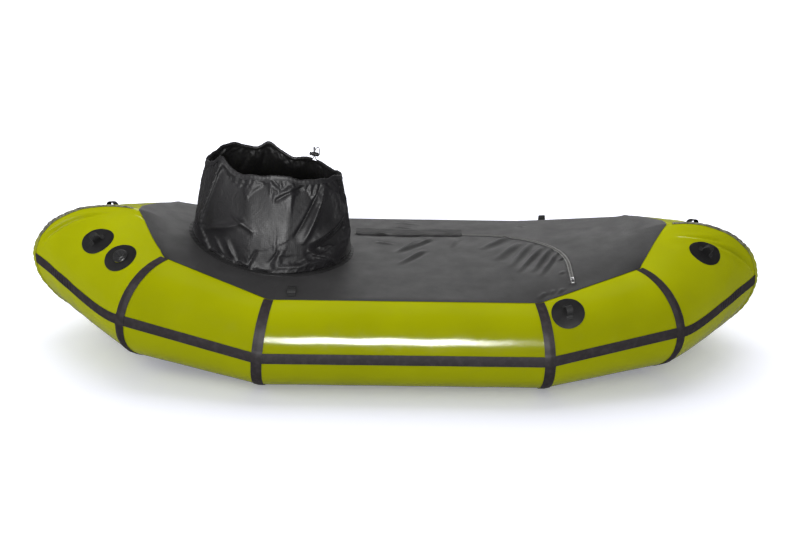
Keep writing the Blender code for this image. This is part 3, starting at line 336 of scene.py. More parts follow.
def unit(vector):
    vector = np.asarray(vector, float)
    return vector / np.maximum(np.linalg.norm(vector, axis=-1, keepdims=True), 1e-12)


def turns(count):
    """Angles once round a circle."""
    return np.linspace(0.0, 2.0 * math.pi, count, endpoint=False)


def distances(line):
    """Distance along a line at each of its points."""
    return np.concatenate([[0.0], np.cumsum(np.linalg.norm(np.diff(line, axis=0), axis=1))])


def read_off(at, own, table):
    """A table's columns, whose rows lie at their own places, read off at other places."""
    return np.stack([np.interp(at, own, column) for column in table.T], axis=-1)


def smooth_step(share):
    """A smooth rise from 0 to 1 that is level at both ends."""
    share = np.clip(share, 0.0, 1.0)
    return share * share * (3.0 - 2.0 * share)


def catmull_rom(corners, t):
    """Points on the smooth curve between the second and the third of each four corners in a row."""
    before, start, end, after = corners[:-3], corners[1:-2], corners[2:-1], corners[3:]
    bend = 2.0 * before - 5.0 * start + 4.0 * end - after
    turn = 3.0 * start - before - 3.0 * end + after
    return start + 0.5 * ((end - before) * t + bend * t ** 2 + turn * t ** 3)


def run_on(points):
    """Points with one more at each end, in line with the last two there."""
    return np.concatenate([[2.0 * points[0] - points[1]], points, [2.0 * points[-1] - points[-2]]])


def smooth_route(route, count):
    """Evenly spaced points on the Catmull-Rom curve through a route's own points."""
    route = np.asarray(route, float)
    t = np.linspace(0.0, 1.0, 12, endpoint=False)[None, :, None]
    dense = catmull_rom(run_on(route)[:, None], t).reshape(-1, route.shape[1])
    dense = np.concatenate([dense, route[-1:]])
    run = distances(dense)
    return read_off(np.linspace(0.0, run[-1], count), run, dense)


def sided(points, port):
    """The same points on the starboard or the port side."""
    flipped = np.array(points, float)
    if port:
        flipped[..., 1] *= -1.0
    return flipped


def placed(points, place):
    """Points moved by a placing matrix."""
    place = np.array(place, float)
    return np.asarray(points, float) @ place[:3, :3].T + place[:3, 3]


def frame_at(origin, normal, along):
    """A placing matrix with Z on the normal and X as near to along as it can be."""
    z = unit(normal)
    x = unit(np.asarray(along, float) - z * np.dot(along, z))
    made = np.eye(4)
    made[:3, :3] = np.stack([x, np.cross(z, x), z], axis=1)
    made[:3, 3] = origin
    return made


def directions(path):
    """The direction of a path at each of its points."""
    return unit(np.gradient(np.asarray(path, float), axis=0))


# Meshes from grids of points

def grid_cells(rows, columns, wrap_rows=False, wrap_columns=False):
    """The four corners of each cell of a grid, as row and column numbers that run on past a wrap."""
    row = np.arange(rows if wrap_rows else rows - 1)
    column = np.arange(columns if wrap_columns else columns - 1)
    row, column = (each.ravel() for each in np.meshgrid(row, column, indexing="ij"))
    corner_rows = np.stack([row, row, row + 1, row + 1], axis=1)
    return corner_rows, np.stack([column, column + 1, column + 1, column], axis=1)


def lengths_along(points, axis, wrap):
    """Distance along a grid's mean line in one direction, one value past the end where it wraps."""
    if wrap:
        points = np.concatenate([points, np.take(points, [0], axis=axis)], axis=axis)
    steps = np.linalg.norm(np.diff(points, axis=axis), axis=-1).mean(axis=1 - axis)
    return np.concatenate([[0.0], np.cumsum(steps), [0.0]])[:points.shape[axis]]


def grid_faces(points, wrap_rows, wrap_columns):
    """A grid's cells as faces of its points, and the texture place in metres of each of their corners:
    how far it is along the rows and the columns."""
    rows, columns = points.shape[:2]
    corner_rows, corner_columns = grid_cells(rows, columns, wrap_rows, wrap_columns)
    along = lengths_along(points, 0, wrap_rows)[corner_rows]
    across = lengths_along(points, 1, wrap_columns)[corner_columns]
    return (corner_rows % rows) * columns + corner_columns % columns, np.stack([along, across], axis=-1)


def make_piece(name, points, quads, places, merge=0.0, sharp=50.0):
    """A named object from points, four-cornered faces and the texture place of each corner. Its faces
    point outward: where the signed volume under them comes out negative they are all turned over."""
    points = np.asarray(points, float).reshape(-1, 3)
    a, b, c, d = (points[quads[:, k]] for k in range(4))
    volume = np.sum(a * np.cross(b, c)) + np.sum(a * np.cross(c, d))
    if volume < 0.0:
        quads, places = quads[:, ::-1], places[:, ::-1]
    mesh = bpy.data.meshes.new(name)
    mesh.from_pydata(points.tolist(), [], quads.tolist())
    layer = mesh.uv_layers.new(name="cloth")
    layer.data.foreach_set("uv", np.ascontiguousarray(places, dtype=np.float32).ravel())
    if merge:
        shape = bmesh.new()
        shape.from_mesh(mesh)
        bmesh.ops.remove_doubles(shape, verts=shape.verts, dist=merge)
        shape.to_mesh(mesh)
        shape.free()
    mesh.shade_smooth()
    mesh.set_sharp_from_angle(angle=math.radians(sharp))
    made = bpy.data.objects.new(name, mesh)
    bpy.context.scene.collection.objects.link(made)
    return made


def skin(name, outer, inner, wrap_rows=False, wrap_columns=False, keep=None, sharp=50.0):
    """A closed skin between two grids of points: the outer cells, the inner cells turned over, and a
    wall wherever a cell's edge has no cell beyond it. keep says which cells are there."""
    top, places = grid_faces(outer, wrap_rows, wrap_columns)
    if keep is not None:
        top, places = top[keep], places[keep]
    count = outer.shape[0] * outer.shape[1]
    starts, ends = top.ravel(), np.roll(top, -1, axis=1).ravel()
    start_places, end_places = places.reshape(-1, 2), np.roll(places, -1, axis=1).reshape(-1, 2)
    outside = ~np.isin(starts * count + ends, ends * count + starts)
    starts, ends, start_places, end_places = (v[outside] for v in (starts, ends, start_places, end_places))
    walls = np.stack([ends, starts, starts + count, ends + count], axis=1)
    wall_places = np.stack([end_places, start_places, start_places, end_places], axis=1)
    quads = np.concatenate([top, top[:, ::-1] + count, walls])
    places = np.concatenate([places, places[:, ::-1], wall_places])
    points = np.concatenate([outer.reshape(-1, 3), inner.reshape(-1, 3)])
    used = np.unique(quads)
    renumbered = np.zeros(2 * count, int)
    renumbered[used] = np.arange(len(used))
    return make_piece(name, points[used], renumbered[quads], places, sharp=sharp)


def swept(name, rings, wrap_rows=False, sharp=50.0):
    """A solid through a row of closed outlines. An end that isn't wrapped closes on its own middle."""
    if not wrap_rows:
        first, last = (np.broadcast_to(rings[k].mean(axis=0), rings[k].shape) for k in (0, -1))
        rings = np.concatenate([first[None], rings, last[None]])
    return make_piece(name, rings, *grid_faces(rings, wrap_rows, True), merge=MERGE, sharp=sharp)


def rounded(outline, radius, steps=5):
    """An outline with its corners rounded: each corner becomes a parabola that starts and ends at most
    a radius away along its two sides."""
    outline = np.asarray(outline, float)
    before = np.roll(outline, 1, axis=0) - outline
    after = np.roll(outline, -1, axis=0) - outline
    reach_before = np.minimum(radius, 0.48 * np.linalg.norm(before, axis=1))[:, None]
    reach_after = np.minimum(radius, 0.48 * np.linalg.norm(after, axis=1))[:, None]
    start = outline + unit(before) * reach_before
    end = outline + unit(after) * reach_after
    t = np.linspace(0.0, 1.0, steps)[None, :, None]
    bent = (1.0 - t) ** 2 * start[:, None] + 2.0 * t * (1.0 - t) * outline[:, None] + t ** 2 * end[:, None]
    return bent.reshape(-1, outline.shape[1])


def turned(name, profile, place, segments=96, radius=0.0006, grip=0.0, grips=0, grip_from=1e9):
    """A round piece: an outline of radius and height pairs turned about Z, then placed. Where the radius
    is past grip_from it is scalloped by a cosine of the turn, so that fingers find it."""
    outline = rounded(profile, radius)
    turn = turns(segments)
    scallop = grip * (0.5 - 0.5 * np.cos(grips * turn)) * (outline[:, :1] > grip_from)
    reach = np.maximum(outline[:, :1] - scallop, 0.0)
    rings = np.stack([reach * np.cos(turn), reach * np.sin(turn), outline[:, 1:] + 0.0 * turn], axis=-1)
    return swept(name, placed(rings, place), wrap_rows=True, sharp=40.0)


def rounded_block(name, low, high, place, bevel):
    """A block between two corners: outlines with rounded corners in plan, drawn in at the top and the
    bottom by a quarter circle of the bevel's radius."""
    low, high = np.asarray(low, float), np.asarray(high, float)
    middle, half = (low + high) / 2.0, (high - low) / 2.0
    rise = np.linspace(0.0, math.pi / 2.0, 5)
    drawn_in = bevel * (1.0 - np.sin(rise))
    below_edge = bevel * (1.0 - np.cos(rise))
    heights = np.concatenate([-half[2] + below_edge, half[2] - below_edge[::-1]])
    shrink = np.concatenate([drawn_in, drawn_in[::-1]])
    corners = rounded([(-1, -1), (1, -1), (1, 1), (-1, 1)] * half[:2], 1.6 * bevel, 7)
    plan = corners[None] * ((half[:2] - shrink[:, None]) / half[:2])[:, None]
    rings = np.concatenate([plan, np.broadcast_to(heights[:, None, None], plan.shape[:2] + (1,))], axis=-1)
    return swept(name, placed(rings + middle, place), sharp=40.0)


def strap_rings(path, side, width, thickness, count=20):
    """Outlines of a flat strap along a path: a superellipse of its width and thickness, of the eighth
    power across and the fourth up, with its width along side and its thickness square to both."""
    path = np.asarray(path, float)
    along = directions(path)
    side = np.broadcast_to(np.asarray(side, float), path.shape)
    across = unit(side - along * np.sum(side * along, axis=-1, keepdims=True))
    up = np.cross(along, across)
    c, s = np.cos(turns(count)), np.sin(turns(count))
    wide = 0.5 * width * np.sign(c) * np.abs(c) ** 0.25
    tall = 0.5 * thickness * np.sign(s) * np.abs(s) ** 0.5
    return path[:, None] + across[:, None] * wide[:, None] + up[:, None] * tall[:, None]


def cord_rings(path, radius, count=12):
    """Round outlines along a path. Each outline's first spoke is the one before it with what lies along
    the path taken out, so the cord doesn't twist."""
    path = np.asarray(path, float)
    along = directions(path)
    spoke = unit(np.cross(along[0], UP if abs(along[0, 2]) < 0.99 else (1.0, 0.0, 0.0)))
    spokes = []
    for heading in along:
        spoke = unit(spoke - heading * np.dot(spoke, heading))
        spokes.append(spoke)
    third = np.cross(along, spokes)
    c, s = np.cos(turns(count))[:, None], np.sin(turns(count))[:, None]
    return path[:, None] + radius * (np.array(spokes)[:, None] * c + third[:, None] * s)


def stitch_rows(name, lines, up, pitch=0.0030, thread=0.00030):
    """Sewing thread along some straight lines: each stitch is a spindle two thirds of a pitch long, whose
    radius follows a sine from end to end and which arches up by a thread's width."""
    starts, ends = [], []
    for start, end in lines:
        start, end = np.asarray(start, float), np.asarray(end, float)
        count = max(int(np.linalg.norm(end - start) / pitch), 1)
        place = (np.arange(count)[:, None] + 0.5) / count
        centre = start + (end - start) * place
        half = (end - start) / count / 3.0
        starts.append(centre - half)
        ends.append(centre + half)
    starts, ends = np.concatenate(starts), np.concatenate(ends)
    up = np.broadcast_to(unit(up), starts.shape)
    across = unit(np.cross(ends - starts, up))
    t = np.linspace(0.0, 1.0, 5)
    turn = turns(6)[:, None]
    arch = (thread * np.sin(math.pi * t))[:, None]
    line = starts[:, None] + (ends - starts)[:, None] * t[:, None] + up[:, None] * arch
    girth = thread * np.sqrt(np.clip(np.sin(math.pi * t), 0.02, 1.0))[:, None, None]
    spoke = across[:, None, None] * np.cos(turn) + up[:, None, None] * np.sin(turn)
    rings = line[:, :, None] + girth * spoke
    corner_rows, corner_columns = grid_cells(len(t), len(turn), False, True)
    quads = corner_rows * len(turn) + corner_columns % len(turn)
    places = np.stack([corner_rows * 0.0005, corner_columns * 0.0003], axis=-1)
    each = len(t) * len(turn)
    count = len(starts)
    quads = (quads[None] + (np.arange(count) * each)[:, None, None]).reshape(-1, 4)
    places = np.broadcast_to(places, (count,) + places.shape).reshape(-1, 4, 2)
    return make_piece(name, rings, quads, places)


def fit_cord(name, path, radius, body, kind, *nodes, count=12):
    """A round cord or wire along a path, with its finish and its body."""
    return dress(swept(name, cord_rings(path, radius, count)), body, kind, *nodes)


def fit_block(name, low, high, place, bevel, body, kind, *nodes):
    """A rounded block with its finish and its body."""
    dress(rounded_block(name, low, high, place, bevel), body, kind, *nodes)


def sew(name, row, body="hull", pitch=0.0030):
    """A row of fine thread from point to point of a nearly level line."""
    dress(stitch_rows(name, list(zip(row[:-1], row[1:])), UP, pitch, FINE_THREAD), body, "thread")


# Hull surface

def hull_stations():
    """The tube's centre, direction, cutting plane, radius, stretch and deck angle at each station."""
    rows = []
    middle_z = TUBE_RADIUS + LIFT
    for side, end, ring_x in ((-1.0, STERN, STERN_RING_X), (1.0, BOW, BOW_RING_X)):
        ring = np.array([ring_x, -MID_CENTRE_Y, middle_z])
        joint = np.array([end["joint"][0], -end["joint"][1], end["joint"][2] + LIFT])
        tip = np.array([end["tip"][0], 0.0, end["tip"][1] + LIFT])
        quarter = unit(joint - ring)
        last = unit(tip - joint)
        joint_plane = unit(quarter + last)
        facing = unit(quarter + np.array([side, 0.0, 0.0]))
        part = [(ring, quarter, facing, TUBE_RADIUS, 1.0, DECK_AT_MIDDLE)]
        for t in np.linspace(0.0, 1.0, END_STEPS + 1):
            centre = joint + (tip - joint) * t ** end["fullness"]
            plane = unit(joint_plane * (1.0 - t) + np.array([0.0, 1.0, 0.0]) * t)
            radius = end["joint_radius"] + (end["tip_radius"] - end["joint_radius"]) * t
            stretch = 1.0 + (end["tip_stretch"] - 1.0) * t
            turned_in = (end["deck_at_tip"] - end["deck_at_joint"]) * t ** end["deck_bend"]
            deck_angle = end["deck_at_joint"] + turned_in
            direction = quarter if t == 0.0 else last
            part.append((centre, direction, plane, radius, stretch, deck_angle))
        rows.append(part)
    ordered = rows[0][::-1] + rows[1]
    return [np.array([row[k] for row in ordered]) for k in range(6)]


CENTRES, DIRECTIONS, PLANES, RADII, STRETCHES, DECK_ANGLES = hull_stations()
STERN_JOINT = END_STEPS
STERN_RING = END_STEPS + 1
BOW_RING = END_STEPS + 2
BOW_JOINT = END_STEPS + 3
LAST_STATION = 2 * END_STEPS + 3
STATIONS = np.arange(LAST_STATION + 1)
SEGMENTS = np.array([0, STERN_JOINT, STERN_RING, BOW_RING, BOW_JOINT, LAST_STATION])


def station_points(index, angles, offset):
    """Points round one station: a circle about the tube's line, slid along the line onto its plane."""
    direction = DIRECTIONS[index]
    out = np.stack([direction[..., 1], -direction[..., 0], np.zeros(index.shape)], axis=-1)
    out = unit(np.where(out[..., 1:2] > 0.0, -out, out))
    up = np.cross(out, direction)
    up = np.where(up[..., 2:3] < 0.0, -up, up)
    radius = RADII[index]
    reach = (radius * STRETCHES[index] + offset) * np.cos(angles)
    rise = (radius + offset) * np.sin(angles)
    spoke = reach[..., None] * out + rise[..., None] * up
    slide = np.sum(spoke * PLANES[index], axis=-1) / np.sum(direction * PLANES[index], axis=-1)
    return CENTRES[index] + spoke - direction * slide[..., None]


def bow_out(t):
    """The two ways a smooth segment can leave the straight line between its ends: t(1-t) and t^2(1-t)."""
    return np.stack([t * (1.0 - t), t * t * (1.0 - t)], axis=-1)


INNER_SHARES = np.arange(1, END_STEPS) / END_STEPS
BEST_BOW = np.linalg.pinv(bow_out(INNER_SHARES))


def hull(station, degrees, offset=0.0):
    """The tube's surface on the starboard side. A segment with only two stations is straight between
    them. An end segment is the cubic that joins its ends and passes nearest to its inner stations."""
    station, degrees, offset = np.broadcast_arrays(np.asarray(station, float), np.asarray(degrees, float),
                                                   np.asarray(offset, float))
    segment = np.clip(np.searchsorted(SEGMENTS, station, side="right") - 1, 0, len(SEGMENTS) - 2)
    low, high = SEGMENTS[segment], SEGMENTS[segment + 1]
    t = (station - low) / (high - low)
    angles = np.radians(degrees)
    first, last = station_points(low, angles, offset), station_points(high, angles, offset)
    made = first + (last - first) * t[..., None]
    inner = bow_out(t) @ BEST_BOW * (high - low > 1)[..., None]
    for number, share in enumerate(INNER_SHARES):
        spot = station_points(np.minimum(low + number + 1, high), angles, offset)
        made = made + inner[..., number, None] * (spot - first - (last - first) * share)
    return made


FINE_STATIONS = np.linspace(0.0, LAST_STATION, 1501)
FINE_LINE = hull(FINE_STATIONS, 20.0)
FINE_RUN = distances(FINE_LINE)
HULL_RUN = FINE_RUN[-1]


def run_at(station):
    """Distance along the tube's outer side from the stern seam."""
    return np.interp(station, FINE_STATIONS, FINE_RUN)


def stations_between(first, last, spacing, trim=0.0):
    """Station values from first to last, a set distance apart along the hull."""
    start, end = run_at(first) + trim, run_at(last) - trim
    return np.interp(np.linspace(start, end, max(int((end - start) / spacing), 2)), FINE_RUN, FINE_STATIONS)


def girth_at(station, degrees):
    """Distance round the tube from its widest line."""
    return np.interp(station, STATIONS, RADII) * np.radians(degrees)


def pleats(girth):
    """Pleats across an end seam, from 0 to 1: the size of a sine of the distance round the tube, whose
    phase wanders with a slower sine."""
    return np.abs(np.sin(math.pi * girth / PLEAT_PITCH + 0.9 * np.sin(girth / 0.021)))


def ladder_window(from_tip):
    """1 in the stretch of each end segment whose tape is pleated, falling to 0 on both sides of it."""
    return np.exp(-((from_tip - LADDER_FROM_TIP) / LADDER_REACH) ** 4)


def ladder(run):
    """Pleats across the widest line's tape, from 0 to 1, in a stretch of each end segment only."""
    ribs = np.abs(np.sin(math.pi * run / LADDER_PITCH + 0.5 * np.sin(run / 0.013)))
    return ladder_window(np.minimum(run, HULL_RUN - run)) * ribs


def relief(station, degrees):
    """How far the blown-up skin stands out. Beside an end seam it is pleated, and the pleats die away by
    a power of e with the distance from the seam. Beside the widest line it follows the ladder in the tape,
    dying away round the tube. The long creases are grooves with a bell-shaped section, and slow sines
    along and round the tube make the cloth's own waviness."""
    station, degrees = np.broadcast_arrays(np.asarray(station, float), np.asarray(degrees, float))
    run, girth = run_at(station), girth_at(station, degrees)
    from_tip = np.minimum(run, HULL_RUN - run)
    pleat = bpy.context.scene.packraft.hull.pleat
    height = pleat * (pleats(girth) - 0.64) * np.exp(-from_tip / 0.020)
    height += 0.0011 * (ladder(run) - 0.3) * np.exp(-np.abs(girth) / 0.016) * ladder_window(from_tip)
    in_end = 1.0 / (1.0 + np.exp((from_tip - 0.25) / 0.02))
    cross_waves = np.sin(run / 0.019 + 2.0 * np.sin(girth / 0.035)) * np.sin(girth / 0.026 + 1.0)
    height += 0.0010 * in_end * cross_waves
    height += 0.00022 * np.sin(run / 0.031 + 1.5 * np.sin(girth / 0.05)) * np.sin(girth / 0.019)
    for (station_a, degrees_a), (station_b, degrees_b), width, depth in CREASES:
        start = np.array([run_at(station_a), girth_at(station_a, degrees_a)])
        end = np.array([run_at(station_b), girth_at(station_b, degrees_b)])
        height -= fold_height(np.stack([run, girth], axis=-1), start, end, width, depth)
    return height


def beside_fold(places, start, end):
    """How far places are along a fold, as a share of its length, and how far to the left of it."""
    line = end - start
    length = np.linalg.norm(line)
    return (places - start) @ (line / length ** 2), (places - start) @ np.array([-line[1], line[0]]) / length


def fold_height(places, start, end, width, height):
    """One fold from start to end: a bell-shaped ridge whose height falls as a half sine towards both its
    ends, skewed to its first end, with a shallow valley beside it."""
    along, aside = beside_fold(places, start, end)
    taper = np.sin(math.pi * np.clip(along, 0.0, 1.0) ** 0.7) ** 0.8
    ridge = np.exp(-(aside / width) ** 2) - 0.45 * np.exp(-((aside - 1.9 * width) / (1.3 * width)) ** 2)
    return height * taper * ridge


def on_hull(station, degrees, offset, port):
    """Points a small height over the blown-up skin."""
    return sided(hull(station, degrees, relief(station, degrees) + offset), port)


def hull_skin(name, station, degrees, lift, thickness, port, **options):
    """A skin that follows the blown-up tubes, a small height over them."""
    outer, inner = (on_hull(station, degrees, lift + rise, port) for rise in (thickness, 0.0))
    return skin(name, outer, inner, **options)


def around(place, along, across):
    """Station and angle of points a distance along the hull and up round the tube from a place."""
    station, degrees = place
    line = hull(FINE_STATIONS, degrees)
    lengths = distances(line)
    start = np.interp(station, FINE_STATIONS, lengths)
    moved = np.interp(start + np.asarray(along, float), lengths, FINE_STATIONS)
    per_degree = np.linalg.norm(hull(station, degrees + 0.5) - hull(station, degrees - 0.5))
    return moved, degrees + np.asarray(across, float) / per_degree


def local_frame(place, port):
    """Origin, direction along the hull and outward normal at a place on the hull."""
    origin = hull(*place)
    along = unit(hull(*around(place, 0.004, 0.0)) - hull(*around(place, -0.004, 0.0)))
    across = unit(hull(place[0], place[1] + 1.0) - hull(place[0], place[1] - 1.0))
    normal = unit(np.cross(across, along))
    if normal[2] < 0.0:
        normal = -normal
    return [sided(v, port) for v in (origin, along, normal)]


# Finishes

class Finish:
    """A material built from nodes round one Principled shader."""

    def __init__(self, name, roughness, colour=(0.5, 0.5, 0.5), metallic=0.0, **sockets):
        self.material = bpy.data.materials.new(name)
        self.material.use_nodes = True
        self.tree = self.material.node_tree
        self.shader = self.tree.nodes["Principled BSDF"]
        self.set("Base Color", (*colour, 1.0))
        self.set("Roughness", roughness)
        self.set("Metallic", metallic)
        for key, value in sockets.items():
            self.set(key.replace("_", " ").title().replace("Ior", "IOR"), value)
        self.places = self.tree.nodes.new("ShaderNodeTexCoord")

    def set(self, socket, value):
        if isinstance(value, bpy.types.NodeSocket):
            self.tree.links.new(value, self.shader.inputs[socket])
        else:
            self.shader.inputs[socket].default_value = value

    def node(self, kind, inputs, output=0, **options):
        """A node with its options set and its inputs filled; returns one of its outputs."""
        made = self.tree.nodes.new(kind)
        for key, value in options.items():
            setattr(made, key, value)
        for key, value in inputs.items():
            if isinstance(value, bpy.types.NodeSocket):
                self.tree.links.new(value, made.inputs[key])
            else:
                made.inputs[key].default_value = value
        return made.outputs[output]

    def math(self, operation, first, second=0.0, third=0.0):
        return self.node("ShaderNodeMath", {0: first, 1: second, 2: third}, operation=operation)

    def noise(self, scale, detail=3.0, where="Object", roughness=0.5, distortion=0.0):
        return self.node("ShaderNodeTexNoise", {"Vector": self.places.outputs[where], "Scale": scale,
                                                "Detail": detail, "Roughness": roughness,
                                                "Distortion": distortion})

    def bands(self, scale, direction, where="UV", distortion=0.0):
        """Parallel ribs: one every 0.314 / scale metres."""
        inputs = {"Vector": self.places.outputs[where], "Scale": scale, "Distortion": distortion,
                  "Detail": 1.0, "Detail Scale": 4.0}
        return self.node("ShaderNodeTexWave", inputs, output=1, bands_direction=direction)

    def between(self, factor, low, high, start=0.0, end=1.0):
        """A value that goes from low to high as the factor goes from start to end."""
        return self.node("ShaderNodeMapRange", {"Value": factor, "From Min": start, "From Max": end,
                                                "To Min": low, "To Max": high})

    def blend(self, factor, first, second):
        """Two colours mixed by a factor."""
        def filled(value):
            return value if isinstance(value, bpy.types.NodeSocket) else (*value, 1.0)
        return self.node("ShaderNodeMix", {0: factor, 6: filled(first), 7: filled(second)}, output=2,
                         data_type="RGBA")

    def bump(self, height, distance, strength=1.0, over=None):
        inputs = {"Height": height, "Distance": distance, "Strength": strength}
        if over is not None:
            inputs["Normal"] = over
        return self.node("ShaderNodeBump", inputs)


def tinted(colour, share, added=0.0):
    """A colour made darker or paler."""
    return tuple(min(value * share + added, 1.0) for value in colour)


def weave_height(finish, threads_per_metre, where="UV"):
    """Plain weave: two sets of ribs at right angles, added up."""
    scale = threads_per_metre * math.pi / 10.0
    return finish.math("ADD", finish.bands(scale, "X", where), finish.bands(scale, "Y", where))


def cloth_finish(name, roughness, colour, mottle, weave, dust=None, dull=None, ripple=None, **sockets):
    """Cloth with a plain weave over ripples, mottled by noises. mottle is a noise, the span of it that
    tells and the two colours it goes between; dust is a second noise, its span, the share of its colour
    and that colour; dull is a noise, its span and the two roughnesses. weave is the threads per metre,
    where they are measured, and the depth and strength of the bump; ripple is a noise, depth, strength."""
    made = Finish(name, roughness, colour, **sockets)
    noise, span, low, high = mottle
    paint = made.blend(made.between(made.noise(*noise), 0.0, 1.0, *span), low, high)
    if dust:
        noise, span, share, tint = dust
        paint = made.blend(made.between(made.noise(*noise), 0.0, share, *span), paint, tint)
    made.set("Base Color", paint)
    if dull:
        noise, span, low, high = dull
        made.set("Roughness", made.between(made.noise(*noise), low, high, *span))
    threads, where, depth, strength = weave
    under = made.bump(made.noise(*ripple[0]), *ripple[1:]) if ripple else None
    made.set("Normal", made.bump(weave_height(made, threads, where), depth, strength, over=under))
    return made.material


def tube_finish(settings):
    """Coated cloth of the tubes: even lime, slightly deeper in cloudy patches, with scuffs that dull its
    gloss and a fine weave under the coating."""
    colour, gloss = tuple(settings.lime), settings.roughness
    return cloth_finish("lime_coated_cloth", gloss, colour,
                        mottle=((5.0, 2.0), (0.35, 0.65), tinted(colour, 0.95), tinted(colour, 1.04)),
                        dust=((90.0, 4.0), (0.62, 0.75), 0.22, tinted(colour, 0.86)),
                        dull=((34.0, 5.0, "Object", 0.5, 1.2), (0.5, 0.72), gloss, gloss + 0.10),
                        weave=(900.0, "UV", 0.00002, 0.4), ripple=((16.0, 2.0), 0.0010, 0.25),
                        specular_ior_level=0.15)


def tape_finish(settings):
    """Welded seam tape: dark brown-black, semi-matte, a little paler where it has been rubbed, with a fine
    ribbed face."""
    colour = tuple(settings.tape)
    return cloth_finish("seam_tape", 0.50, colour,
                        mottle=((60.0, 4.0), (0.45, 0.75), colour, tinted(colour, 1.5, 0.008)),
                        dull=((25.0, 3.0), (0.3, 0.7), 0.54, 0.66),
                        weave=(1100.0, "UV", 0.00005, 0.5), ripple=((70.0, 2.0), 0.0006, 0.25),
                        specular_ior_level=0.20, sheen_weight=0.03, sheen_roughness=0.5)


def end_tape_finish(settings):
    """The end seam's tape: the tubes' own cloth, with a painted reflection along the top of the boat: a
    streaky grey that stands for the light the tape catches at low angles there.
    """
    lime = tuple(settings.lime)
    made = Finish("end_seam_tape", 0.42, lime, specular_ior_level=0.25)
    height = made.node("ShaderNodeSeparateXYZ", {"Vector": made.places.outputs["Object"]}, output=2)
    # Painted reflection: streaky grey and pale tones, painted where the end tape catches light at low angles
    # along the top of the boat.
    painted_sheen_streaks = made.noise(160.0, 2.0)
    grey = made.blend(made.between(painted_sheen_streaks, 0.0, 1.0, 0.40, 0.62), (0.085, 0.080, 0.066), (0.26, 0.26, 0.17))
    painted_sheen_height = made.math("ADD", height, made.math("MULTIPLY", made.noise(30.0, 3.0), 0.08))
    # Lime below a height on the boat and the painted reflection's grey above it, with a noisy edge between
    # them.
    made.set("Base Color", made.blend(made.between(painted_sheen_height, 0.0, 1.0, 0.325, 0.385), tinted(lime, 0.92), grey))
    made.set("Normal", made.bump(made.noise(120.0, 2.0), 0.0008, 0.4))
    return made.material


def deck_finish(name, colour, sheen, gloss):
    """Taut deck cloth: dark grey with a soft sheen that pales it at low angles, mottled by handling, with
    a plain weave."""
    return cloth_finish(name, 0.50, colour,
                        mottle=((7.0, 4.0), (0.3, 0.7), tinted(colour, 0.90), tinted(colour, 1.10)),
                        dust=((130.0, 4.0), (0.6, 0.8), 0.3, tinted(colour, 1.8, 0.01)),
                        dull=((18.0, 3.0), (0.3, 0.7), 0.44, 0.58),
                        weave=(800.0, "Object", 0.00004, 0.5), ripple=((22.0, 3.0), 0.0016, 0.22),
                        specular_ior_level=gloss, sheen_weight=sheen, sheen_roughness=0.36)


def tunnel_finish(settings):
    """Thin coated nylon: nearly black, crisp gloss in its creases, and a faint ripstop grid."""
    colour = tuple(settings.tunnel)
    made = Finish("tunnel_nylon", 0.48, colour, specular_ior_level=0.17, sheen_weight=0.14,
                  sheen_roughness=0.3)
    cloudy = made.between(made.noise(11.0, 4.0), 0.0, 1.0, 0.3, 0.7)
    made.set("Base Color", made.blend(cloudy, tinted(colour, 0.8), tinted(colour, 1.35)))
    made.set("Roughness", made.between(made.noise(14.0, 4.0), 0.43, 0.57, 0.3, 0.7))
    grid = made.math("ADD", *(made.math("POWER", made.bands(52.0, way), 12.0) for way in "XY"))
    creases = made.noise(24.0, 6.0, "UV", roughness=0.62, distortion=1.6)
    made.set("Normal", made.bump(grid, 0.00012, 0.5, over=made.bump(creases, 0.0030, 0.45)))
    return made.material


def floor_finish():
    """Heavy floor cloth: black, matte, with a coarse weave, paler scuffs where it has been dragged."""
    scuff = (30.0, 6.0, "Object", 0.5, 0.8)
    return cloth_finish("floor_cloth", 0.60, (0.020, 0.020, 0.020),
                        mottle=(scuff, (0.55, 0.8), (0.018, 0.018, 0.018), (0.05, 0.05, 0.048)),
                        dull=(scuff, (0.4, 0.7), 0.55, 0.75), weave=(450.0, "Object", 0.00015, 0.6))


def patch_finish():
    """Smooth patches: black with a brown cast, satin, faintly dimpled by the glue under them."""
    return cloth_finish("patch_cloth", 0.50, (0.010, 0.009, 0.010),
                        mottle=((45.0, 4.0), (0.4, 0.75), (0.008, 0.0075, 0.008), (0.014, 0.013, 0.014)),
                        dull=((20.0, 3.0), (0.3, 0.7), 0.46, 0.60),
                        weave=(1000.0, "UV", 0.00005, 0.5), ripple=((55.0, 2.0), 0.0005, 0.3),
                        specular_ior_level=0.3)


def webbing_finish():
    """Woven webbing: ribs across the strap every 2 mm, split by the lengthwise yarns."""
    made = Finish("webbing", 0.72, (0.010, 0.010, 0.010), specular_ior_level=0.3, sheen_weight=0.05,
                  sheen_roughness=0.4)
    weave = made.math("MULTIPLY", made.bands(157.0, "X", distortion=0.3), made.bands(240.0, "Y"))
    made.set("Base Color", made.blend(weave, (0.006, 0.006, 0.006), (0.024, 0.024, 0.024)))
    made.set("Normal", made.bump(weave, 0.0004, 0.7))
    return made.material


def cord_finish():
    """Braided cord: two sets of slanting ribs that cross."""
    made = Finish("braided_cord", 0.65, (0.014, 0.014, 0.014), sheen_weight=0.3, sheen_roughness=0.4)
    sets = []
    for slant in (40.0, -40.0):
        places = made.node("ShaderNodeMapping", {"Vector": made.places.outputs["UV"],
                                                 "Rotation": (0.0, 0.0, math.radians(slant))})
        sets.append(made.node("ShaderNodeTexWave", {"Vector": places, "Scale": 260.0}, output=1))
    braid = made.math("MAXIMUM", *sets)
    made.set("Base Color", made.blend(braid, (0.007, 0.007, 0.007), (0.030, 0.030, 0.030)))
    made.set("Normal", made.bump(braid, 0.0003, 0.7))
    return made.material


